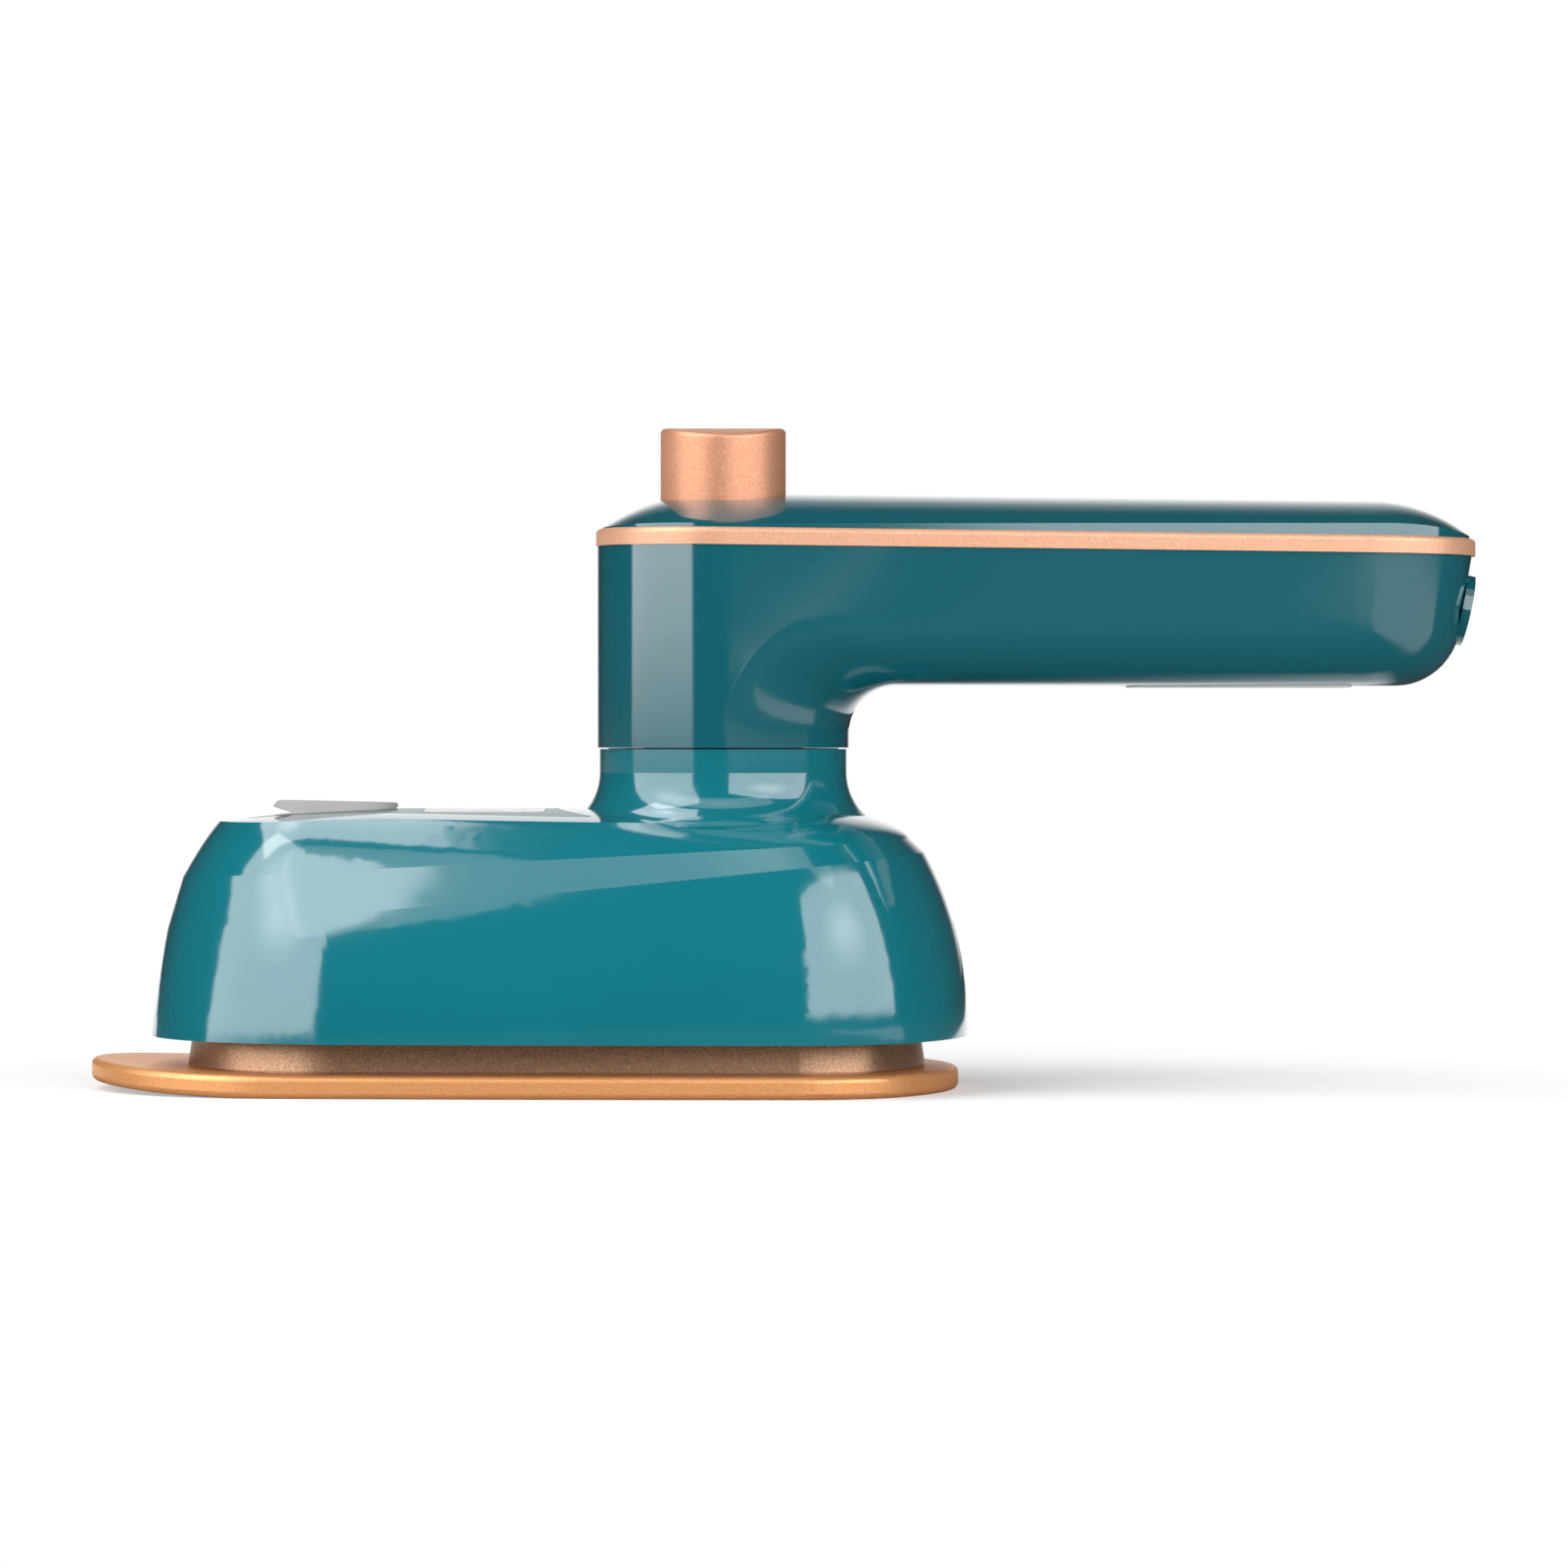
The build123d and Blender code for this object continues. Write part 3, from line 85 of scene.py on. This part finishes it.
def tint(tree, shader, grain, dark, light, dark_end=0.0, light_end=1.0):
    """Colours the shader from dark to light along a noise."""
    ramp = tree.nodes.new("ShaderNodeValToRGB")
    low, high = ramp.color_ramp.elements
    low.position, low.color = dark_end, (*dark, 1)
    high.position, high.color = light_end, (*light, 1)
    tree.links.new(grain, ramp.inputs["Fac"])
    tree.links.new(ramp.outputs["Color"], shader.inputs["Base Color"])


def emboss(tree, shader, grain, strength, depth):
    """Lets a noise raise the surface, and so break up its gloss."""
    bump = tree.nodes.new("ShaderNodeBump")
    settle(bump, {"Strength": strength, "Distance": depth})
    tree.links.new(grain, bump.inputs["Height"])
    tree.links.new(bump.outputs["Normal"], shader.inputs["Normal"])


def flake_metal(name, dark, light, metallic, roughness, scale, relief):
    """A metallic coat with flakes: two close tones, and a relief that breaks up its gloss."""
    material, tree, shader, place = new_finish(name, {"Metallic": metallic, "Roughness": roughness})
    flakes = grains(tree, place, scale)
    tint(tree, shader, flakes, dark, light, dark_end=0.32, light_end=0.68)
    emboss(tree, shader, flakes, relief, depth=0.02 * mm)
    return material


sole_dark = (0.92, 0.33, 0.10)
sole_light = (1.0, 0.54, 0.24)
sole_coat = flake_metal(
    "sole_rose_gold", sole_dark, sole_light, metallic=0.55, roughness=0.38, scale=5200, relief=0.25
)
finish_with(sole_coat, "sole_plate")

# Heater block. A die cast aluminium block between sole and shell, sprayed with a bronze coat whose speckle
# is darker and stronger than the sole's. Three steel screws hold it under the base plate.
block_dark = (0.22, 0.130, 0.082)
block_light = (0.78, 0.47, 0.29)
block_coat = flake_metal(
    "block_bronze", block_dark, block_light, metallic=0.75, roughness=0.36, scale=6500, relief=0.3
)
finish_with(block_coat, "heater_block")

# Heating parts. A steel tube element lies in the block's groove, an aluminium cover closes its steam
# chamber, and a mica sheet keeps its heat from the base plate. The snap thermostat and the fuse have
# plated steel cases.


def shades(tone, darker, lighter):
    """Two shades of a tone, near enough for a cloud that only takes its flatness away."""
    return [[min(1, part * share) for part in tone] for share in (darker, lighter)]


def vary_gloss(tree, shader, grain, roughness, spread):
    """Lets a noise change the roughness by a share of itself, up and down."""
    gloss = tree.nodes.new("ShaderNodeMapRange")
    settle(gloss, {"To Min": roughness * (1 - spread), "To Max": roughness * (1 + spread)})
    tree.links.new(grain, gloss.inputs["Value"])
    tree.links.new(gloss.outputs["Result"], shader.inputs["Roughness"])


def plain_metal(name, tone, roughness, scale):
    """Bare metal with a faint cloud in its colour and its gloss."""
    material, tree, shader, place = new_finish(name, {"Metallic": 1})
    cloud = grains(tree, place, scale)
    tint(tree, shader, cloud, *shades(tone, darker=0.82, lighter=1))
    vary_gloss(tree, shader, cloud, roughness, spread=0.2)
    return material


def moulded(name, tone, roughness, grain=900, relief=0.02):
    """Moulded plastic, board or rubber: one colour with a slight cloud, and a fine texture of the mould."""
    material, tree, shader, place = new_finish(name, {"Roughness": roughness})
    cloud = grains(tree, place, scale=60, detail=4)
    tint(tree, shader, cloud, *shades(tone, darker=0.93, lighter=1.05))
    emboss(tree, shader, grains(tree, place, grain), relief, depth=0.05 * mm)
    return material


bare_steel = plain_metal("zinc_plated_steel", (0.56, 0.56, 0.58), roughness=0.32, scale=400)
bare_aluminium = plain_metal("bare_aluminium", (0.72, 0.72, 0.74), roughness=0.4, scale=250)
mica_board = moulded("mica_board", (0.62, 0.56, 0.44), roughness=0.8, grain=1500, relief=0.3)
finish_with(bare_steel, "heating_element", "thermostat", "thermal_fuse", "sole_screws")
finish_with(bare_aluminium, "chamber_cover")
finish_with(mica_board, "heat_shield")

# Base plate. Black, heat proof resin, moulded to fill the shell's mouth. The shell's three posts stand on
# it, and steel screws from under the inlay hold the two together.
black_resin = moulded("black_resin", (0.012, 0.012, 0.013), roughness=0.5, relief=0.1)
finish_with(black_resin, "base_plate")
finish_with(bare_steel, "base_screws")

# Base shell. Glossy teal plastic, moulded with two creases that climb from the nose to the neck, so that
# the side is three twisted faces. Its neck carries the handle.


def gloss_plastic(name, tone, roughness, coat=1.0):
    """Polished coloured plastic with a clear skin, and a very slight sink and flow in it."""
    even = {"Roughness": roughness, "IOR": 1.5}
    skin = {"Coat Weight": coat, "Coat Roughness": 0.06, "Coat IOR": 1.7}
    material, tree, shader, place = new_finish(name, {**even, **skin})
    cloud = grains(tree, place, scale=45, detail=3)
    tint(tree, shader, cloud, *shades(tone, darker=0.92, lighter=1.06))
    emboss(tree, shader, grains(tree, place, scale=130), strength=0.04, depth=0.3 * mm)
    return material


shell_teal = gloss_plastic("shell_teal", (0.0040, 0.158, 0.198), roughness=0.12)
finish_with(shell_teal, "base_shell")

# Top of the base. The inlay is satin teal plastic set into the crown, with a hollow rear edge that follows
# the neck. A clear window lies in it over the tank of frosted plastic, which fills the shell.


def clear_plastic(name, tone, roughness):
    """Clear moulded plastic, faintly tinted, with a cloud in its gloss."""
    body = {"Base Color": (*tone, 1), "Transmission Weight": 0.85, "IOR": 1.49}
    material, tree, shader, place = new_finish(name, body)
    vary_gloss(tree, shader, grains(tree, place, scale=120), roughness, spread=0.3)
    return material


inlay_teal = gloss_plastic("inlay_teal", (0.030, 0.110, 0.130), roughness=0.25, coat=0.15)
finish_with(inlay_teal, "top_panel")
window_clear = clear_plastic("window_clear", (0.80, 0.88, 0.90), roughness=0.06)
finish_with(window_clear, "water_window")
tank_frosted = clear_plastic("tank_frosted", (0.78, 0.84, 0.86), roughness=0.3)
finish_with(tank_frosted, "water_tank")

# Filler plug. One piece of matt grey silicone: a stem that closes the filler bore, a cap that lies on the
# inlay, and a tab to lift it by. It swings up on its own tether.
plug_grey = moulded("plug_grey", (0.47, 0.455, 0.45), roughness=0.55, grain=2500, relief=0.15)
finish_with(plug_grey, "filler_plug")

# Pump and hoses. A barrel and cap of off-white nylon stand on the base plate under the neck, with black
# valve balls in the ports and a black seal on the piston. Milky hoses lead to the tank and to the steam
# chamber.
pump_white = moulded("pump_white", (0.70, 0.68, 0.62), roughness=0.4)
hose_milky = moulded("hose_milky", (0.62, 0.60, 0.56), roughness=0.5)
seal_black = moulded("seal_black", (0.015, 0.015, 0.015), roughness=0.6)
finish_with(pump_white, "pump_body", "pump_cap")
finish_with(hose_milky, "suction_tube", "drip_tube")
finish_with(seal_black, "pump_valves", "piston_seal")

# Swivel and plunger. The handle's hollow spigot of black resin turns on a washer in the shell's collar, and
# a steel ring holds it there. The button's rod runs down through it, and the button's spring stands on the
# guide plate.
finish_with(black_resin, "swivel_spigot", "swivel_washer")
finish_with(pump_white, "guide_plate")
finish_with(bare_steel, "retaining_ring", "spigot_screws", "plunger_rod", "button_spring")

# Handle. Neck and grip are moulded as one trough in darker teal. The rounded underside of the grip turns
# down into the neck in one sweep, and its edge fades out on the way. The trough stands on the swivel by
# the foot of its neck and is open at the top, under the trim. Its sizes are in millimetres.
handle_low, handle_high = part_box("handle_shell")
neck_radius = -handle_low.x / mm
foot_level = handle_low.z / mm
deck_slope = math.tan(math.radians(0.67))
deck_level = handle_high.z / mm - neck_radius * deck_slope
rim_level = 81.65
rim_end_x, rim_end_radius = 96.1, 16.6
under_level = 60.3
under_end_x, under_end_radius = 94.7, 14.5
under_round = 8.0
crook_sweep = 7.0
crook_x = neck_radius + crook_sweep
crook_z = under_level - crook_sweep
straight_end_x = 92
upright = math.pi / 2
deck_turn = math.atan2(deck_level - crook_z, crook_x)
neck_fade_turn = math.radians(30)
least_half_width = 0.1
wall_thickness = 2.2
edge_radius = 0.08
edge_angle = math.radians(50)
merge_reach = 0.005
flat_steps, corner_steps, side_steps, front_steps = 5, 12, 6, 20
turn_steps, straight_steps, end_steps = 10, 8, 16


def grip_end(z):
    """Middle and radius of the grip's round end at one height: it leans in towards the underside."""
    share = (rim_level - z) / (rim_level - under_level)
    middle = rim_end_x + (under_end_x - rim_end_x) * share
    return middle, rim_end_radius + (under_end_radius - rim_end_radius) * share


def grip_lean(z):
    """The angle at which the grip's sides close in from the neck to its end."""
    middle, radius = grip_end(z)
    return math.asin((neck_radius - radius) / middle)


def half_width(x, z, turn):
    """The handle's half width. Down at the neck, where the turn is small, it is the neck's own."""
    lean = grip_lean(z)
    if x < neck_radius * math.sin(lean):
        return neck_radius
    side = (neck_radius - x * math.sin(lean)) / math.cos(lean)
    share = min(1, turn / neck_fade_turn)
    share = share * share * (3 - 2 * share)
    return neck_radius + (side - neck_radius) * share


def sweep_row(turn, middle_x=crook_x):
    """One row of the handle's skin, from the middle of its underside out to the side and up."""
    rounding = under_round + (neck_radius - under_round) * math.cos(turn) ** 2
    corner = crook_sweep + rounding
    if turn > deck_turn:
        rise = deck_level - middle_x * deck_slope - crook_z
        far = rise / (math.sin(turn) - math.cos(turn) * deck_slope)
    else:
        far = middle_x / math.cos(turn)

    def place(reach, inset):
        x, z = middle_x - reach * math.cos(turn), crook_z + reach * math.sin(turn)
        return x, max(least_half_width, half_width(x, z, turn) - inset), z

    x, edge_y, z = place(crook_sweep, rounding)
    row = [(x, edge_y * step / flat_steps, z) for step in range(flat_steps)]
    for step in range(corner_steps + 1):
        angle = upright * step / corner_steps
        row.append(place(corner - rounding * math.cos(angle), rounding * (1 - math.sin(angle))))
    for step in range(1, side_steps + 1):
        row.append(place(corner + (far - corner) * step / side_steps, 0))
    return row


def front_row(z):
    """The row goes on round the front of the neck, and up there it follows the slope of the deck."""
    climb = deck_slope * (z - foot_level) / (deck_level - foot_level)
    row = []
    for step in range(1, front_steps + 1):
        angle = upright * step / front_steps
        reach = neck_radius * math.sin(angle)
        row.append((-reach, neck_radius * math.cos(angle), z + reach * climb))
    return row


def end_row(share):
    """One row of the grip's round end: it turns from the side to straight out as the share falls to 0."""

    def place(z, inset):
        middle, radius = grip_end(z)
        angle = (upright - grip_lean(z)) * share
        return middle + (radius - inset) * math.cos(angle), (radius - inset) * math.sin(angle), z

    flat_reach = under_end_radius - under_round
    row = []
    for step in range(flat_steps):
        row.append(place(under_level, under_end_radius - flat_reach * step / flat_steps))
    for step in range(corner_steps + 1):
        angle = upright * step / corner_steps
        z = under_level + under_round * (1 - math.cos(angle))
        row.append(place(z, under_round * (1 - math.sin(angle))))
    side_foot = under_level + under_round
    deck_here = deck_level - place(deck_level, 0)[0] * deck_slope
    for step in range(1, side_steps + 1):
        row.append(place(side_foot + (deck_here - side_foot) * step / side_steps, 0))
    return row


def row_of_edges(shape, points):
    """A chain of edges through the points of one row."""
    corners = [shape.verts.new(Vector(point) * mm) for point in points]
    return [shape.edges.new(pair) for pair in zip(corners, corners[1:])]


def object_of(name, shape):
    """An object of the scene, with the finished shape as its mesh."""
    mesh = bpy.data.meshes.new(name)
    shape.to_mesh(mesh)
    shape.free()
    piece = bpy.data.objects.new(name, mesh)
    bpy.context.scene.collection.objects.link(piece)
    return piece


turn_shares = [step / turn_steps for step in range(turn_steps + 1)]
low_turns = [deck_turn * share for share in turn_shares]
neck_rows = [sweep_row(turn) + front_row(crook_z + crook_x * math.tan(turn)) for turn in low_turns]
foot_row = [(x, y, foot_level) for x, y, z in neck_rows[0]]
grip_rows = [sweep_row(deck_turn + (upright - deck_turn) * share) for share in turn_shares]
for step in range(1, straight_steps + 1):
    grip_rows.append(sweep_row(upright, crook_x + (straight_end_x - crook_x) * step / straight_steps))
grip_rows += [end_row(1 - step / end_steps) for step in range(end_steps + 1)]

trough = bmesh.new()
for rows in ([foot_row] + neck_rows, grip_rows):
    last = row_of_edges(trough, rows[0])
    for points in rows[1:]:
        row = row_of_edges(trough, points)
        bmesh.ops.bridge_loops(trough, edges=last + row)
        last = row
bmesh.ops.remove_doubles(trough, verts=trough.verts[:], dist=merge_reach * mm)
one_half = trough.verts[:] + trough.edges[:] + trough.faces[:]
bmesh.ops.mirror(trough, geom=one_half, axis="Y", merge_dist=merge_reach * mm)
bmesh.ops.remove_doubles(trough, verts=trough.verts[:], dist=merge_reach * mm)
bmesh.ops.recalc_face_normals(trough, faces=trough.faces[:])
for face in trough.faces:
    face.smooth = True
handle_trough = object_of("handle_trough", trough)
trough_wall = handle_trough.modifiers.new("wall", "SOLIDIFY")
trough_wall.thickness = wall_thickness * mm
trough_wall.offset = -1
trough_edges = handle_trough.modifiers.new("edges", "BEVEL")
trough_edges.width = edge_radius * mm
trough_edges.segments = 2
trough_edges.limit_method = "ANGLE"
trough_edges.angle_limit = edge_angle
trough_gloss = handle_trough.modifiers.new("gloss", "WEIGHTED_NORMAL")
trough_gloss.weight = 100
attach(handle_trough, "handle")
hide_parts("handle_shell")
handle_teal = gloss_plastic("handle_teal", (0.0036, 0.100, 0.128), roughness=0.12)
handle_trough.data.materials.append(handle_teal)

# Fittings in the grip. A terminal block stands on the floor of the trough, and near the gland two plated
# steel screws hold a clamp. Block and clamp are moulded in white plastic.
fitting_white = moulded("fitting_white", (0.74, 0.73, 0.69), roughness=0.45)
finish_with(fitting_white, "cord_clamp", "terminal_block")
finish_with(bare_steel, "clamp_screws")

# Trim. A thin moulded band with a rounded rim and a rose gold metal lacquer. It lies on the trough's upper
# edge, under the cover.
trim_dark = (0.74, 0.37, 0.22)
trim_light = (0.92, 0.52, 0.34)
trim_coat = flake_metal(
    "trim_rose_gold", trim_dark, trim_light, metallic=0.45, roughness=0.42, scale=4200, relief=0.15
)
finish_with(trim_coat, "trim_ring")

# Cover and gland. Both are moulded in the handle's own teal. The domed cover is held by plated steel
# screws from inside, and the gland, a flat round pad, snaps through the wall of the grip's end.
finish_with(handle_teal, "handle_cover", "cord_gland")
finish_with(bare_steel, "cover_screws")

# Steam button. A hollow moulded cap with a rose gold lacquer, a little deeper than the trim's. It slides in
# the cover's hole, and the flange at its foot stays under the cover.
button_dark = (0.66, 0.29, 0.16)
button_light = (0.84, 0.42, 0.26)
button_coat = flake_metal(
    "button_rose_gold", button_dark, button_light, metallic=0.5, roughness=0.40, scale=4200, relief=0.15
)
finish_with(button_coat, "steam_button")

# Label plate. A thin plate of pale plastic, left bare. It is set into a shallow recess in the underside of
# the grip.
label_pale = moulded("label_pale", (0.60, 0.60, 0.60), roughness=0.5)
finish_with(label_pale, "label_plate")

# Photo table. A white floor that keeps the iron's soft shadow and fades into the white background. In the
# iron's gloss it is dark, as beside black cards, but for two white cards that only the gloss sees. The sizes
# here, and those of the room and the lamps, are in metres.
floor_half_width = 3
floor_pale = (0.86, 0.86, 0.86, 1)
floor_in_gloss = (0.05, 0.05, 0.05, 1)
floor_lift = 0.16
floor_fade_reaches = (0.05, 0.15)
back_card_y = (0.0, 0.02)
back_card_x = (0.13, 0.11)
front_card_y = (0.0, -0.03)
front_card_x = (0.15, 0.19)
front_card_reaches = (0.6, 0.5)
front_card_level = 0.7
white = (1, 1, 1, 1)


def fade(tree, reach, start=0.0, end=1.0, first=0.0, last=1.0):
    """A level that turns smoothly from first to last while a reach goes from start to end."""
    step = tree.nodes.new("ShaderNodeMapRange")
    step.interpolation_type = "SMOOTHSTEP"
    settle(step, {"From Min": start, "From Max": end, "To Min": first, "To Max": last})
    tree.links.new(reach, step.inputs["Value"])
    return step.outputs["Result"]


def combine(tree, operation, first, second):
    """One level out of two."""
    both = tree.nodes.new("ShaderNodeMath")
    both.operation = operation
    tree.links.new(first, both.inputs[0])
    tree.links.new(second, both.inputs[1])
    return both.outputs["Value"]


def vector_step(tree, operation, vector, *others):
    """One step of arithmetic on a vector, with other vectors that are the same everywhere."""
    step = tree.nodes.new("ShaderNodeVectorMath")
    step.operation = operation
    tree.links.new(vector, step.inputs[0])
    for socket, other in zip(step.inputs[1:], others):
        socket.default_value = other
    return step.outputs["Vector"]


def length_of(tree, vector):
    """How long a vector is."""
    step = tree.nodes.new("ShaderNodeVectorMath")
    step.operation = "LENGTH"
    tree.links.new(vector, step.inputs[0])
    return step.outputs["Value"]


def flat_parts(tree, vector):
    """The parts of a vector along X and Y."""
    axes = tree.nodes.new("ShaderNodeSeparateXYZ")
    tree.links.new(vector, axes.inputs["Vector"])
    return axes.outputs["X"], axes.outputs["Y"]


floor_mesh = bmesh.new()
bmesh.ops.create_grid(floor_mesh, x_segments=1, y_segments=1, size=floor_half_width)
floor = object_of("floor", floor_mesh)

floor_matt = {"Roughness": 0.9, "Specular IOR Level": 0.1, "Emission Color": white}
floor_white, floor_tree, floor_shader, floor_place = new_finish("floor_white", floor_matt)
floor_rays = floor_tree.nodes.new("ShaderNodeLightPath").outputs
floor_tone = floor_tree.nodes.new("ShaderNodeMix")
floor_tone.data_type = "RGBA"
settle(floor_tone, {"A": floor_pale, "B": floor_in_gloss})
floor_tree.links.new(floor_rays["Is Glossy Ray"], floor_tone.inputs["Factor"])
floor_tree.links.new(floor_tone.outputs["Result"], floor_shader.inputs["Base Color"])
lift_seen = fade(floor_tree, floor_rays["Is Camera Ray"], last=floor_lift)
floor_tree.links.new(lift_seen, floor_shader.inputs["Emission Strength"])

floor_reach = length_of(floor_tree, floor_place)
floor_x, floor_y = flat_parts(floor_tree, floor_place)
back_depth = fade(floor_tree, floor_y, *back_card_y)
back_card = combine(floor_tree, "MULTIPLY", back_depth, fade(floor_tree, floor_x, *back_card_x))
front_depth = fade(floor_tree, floor_y, *front_card_y)
front_side = fade(floor_tree, floor_x, *front_card_x, last=front_card_level)
front_card = combine(floor_tree, "MULTIPLY", front_depth, front_side)
front_card = combine(floor_tree, "MULTIPLY", front_card, fade(floor_tree, floor_reach, *front_card_reaches))
white_cards = combine(floor_tree, "MAXIMUM", back_card, front_card)
cards_in_gloss = combine(floor_tree, "MULTIPLY", white_cards, floor_rays["Is Glossy Ray"])
glow_seen = combine(floor_tree, "MAXIMUM", floor_rays["Is Camera Ray"], cards_in_gloss)
glow_share = combine(floor_tree, "MULTIPLY", fade(floor_tree, floor_reach, *floor_fade_reaches), glow_seen)
floor_glow = floor_tree.nodes.new("ShaderNodeEmission")
floor_mix = floor_tree.nodes.new("ShaderNodeMixShader")
floor_tree.links.new(glow_share, floor_mix.inputs["Fac"])
floor_tree.links.new(floor_shader.outputs["BSDF"], floor_mix.inputs[1])
floor_tree.links.new(floor_glow.outputs["Emission"], floor_mix.inputs[2])
floor_tree.links.new(floor_mix.outputs["Shader"], floor_tree.nodes["Material Output"].inputs["Surface"])
floor.data.materials.append(floor_white)

# Room. In the gloss it is white in an upright oval straight behind the iron, and dim overhead and on the
# camera's side. The camera itself, and what it sees through clear plastic, has white all round.
oval_squeeze = (2.2, 1, 1)
oval_middle = (0, 1, 0)
oval_borders = (0.25, 0.8)
room_dim = 0.03
room = bpy.data.worlds.new("white_room")
bpy.context.scene.world = room
room.use_nodes = True
room_tree = room.node_tree
background = room_tree.nodes["Background"]
settle(background, {"Color": white})
direction = room_tree.nodes.new("ShaderNodeTexCoord").outputs["Generated"]
back_to_middle = [-part for part in oval_middle]
from_middle = vector_step(room_tree, "MULTIPLY_ADD", direction, oval_squeeze, back_to_middle)
white_oval = fade(room_tree, length_of(room_tree, from_middle), *oval_borders, first=1.0, last=room_dim)
room_rays = room_tree.nodes.new("ShaderNodeLightPath").outputs
room_seen = combine(room_tree, "MAXIMUM", room_rays["Is Camera Ray"], room_rays["Is Transmission Ray"])
room_tree.links.new(combine(room_tree, "MAXIMUM", room_seen, white_oval), background.inputs["Strength"])

# Lamps. Large softboxes at the left and right of the camera make the long patches in the gloss, and two
# smaller ones hang over the iron. Each faces it, and is brighter in its middle than at its border.
lamp_middle = (0.5, 0.5, 0)
lamp_borders = (0.5, 0.45)
heart_reach = 0.3
heart_level = 1.6


def soften(lamp):
    """Gives a lamp a soft border and a bright heart, on its own scale of 1 from side to side."""
    lamp.use_nodes = True
    lamp_tree = lamp.node_tree
    spot = lamp_tree.nodes.new("ShaderNodeNewGeometry").outputs["Parametric"]
    offset = vector_step(lamp_tree, "SUBTRACT", spot, lamp_middle)
    across, up = flat_parts(lamp_tree, vector_step(lamp_tree, "ABSOLUTE", offset))
    border = fade(lamp_tree, combine(lamp_tree, "MAXIMUM", across, up), *lamp_borders)
    heart = fade(lamp_tree, length_of(lamp_tree, offset), end=heart_reach, first=heart_level)
    brightness = combine(lamp_tree, "MULTIPLY", border, heart)
    lamp_tree.links.new(brightness, lamp_tree.nodes["Emission"].inputs["Strength"])


def softbox(name, azimuth, distance, level, width, height, power, tilt=0):
    """A soft lamp that faces the iron. Its azimuth, in degrees, is 0 on the camera's side and grows to the
    right, and its tilt is how far it looks down."""
    turn, tip = math.radians(azimuth), math.radians(tilt)
    out = Vector((math.sin(turn), -math.cos(turn), 0))
    lamp = bpy.data.lights.new(name, "AREA")
    lamp.shape = "RECTANGLE"
    lamp.size, lamp.size_y = width, height
    lamp.energy = power
    soften(lamp)
    holder = bpy.data.objects.new(name, lamp)
    holder.location = out * distance + Vector((0, 0, level))
    facing = out * math.cos(tip) + Vector((0, 0, math.sin(tip)))
    holder.rotation_euler = facing.to_track_quat("Z", "Y").to_euler()
    bpy.context.scene.collection.objects.link(holder)


softbox("left_softbox", azimuth=-59, distance=1.2, level=1.2, width=1.55, height=2.4, power=30)
softbox("right_softbox", azimuth=44.5, distance=1.2, level=0.7, width=2.05, height=1.31, power=21)
softbox("front_top_softbox", azimuth=0, distance=0.7, level=1.35, width=2.0, height=0.6, power=3, tilt=63)
softbox("left_top_softbox", azimuth=-100, distance=0.7, level=1.5, width=0.9, height=0.9, power=7, tilt=65)

# Camera. It stands 0.9 m in front of the iron, about as high as the iron's middle, and looks down by half
# a degree, as the photograph was taken. Its place is in millimetres.
camera_place = (9.13, -900, 53.7)
camera_down = 0.52
view = bpy.data.cameras.new("photo_view")
view.sensor_width = 36
view.lens = 137.5
camera = bpy.data.objects.new("photo_view", view)
camera.location = [part * mm for part in camera_place]
camera.rotation_euler = (math.radians(90 - camera_down), 0, 0)
bpy.context.scene.collection.objects.link(camera)
bpy.context.scene.camera = camera
bpy.context.scene.view_settings.view_transform = "Standard"
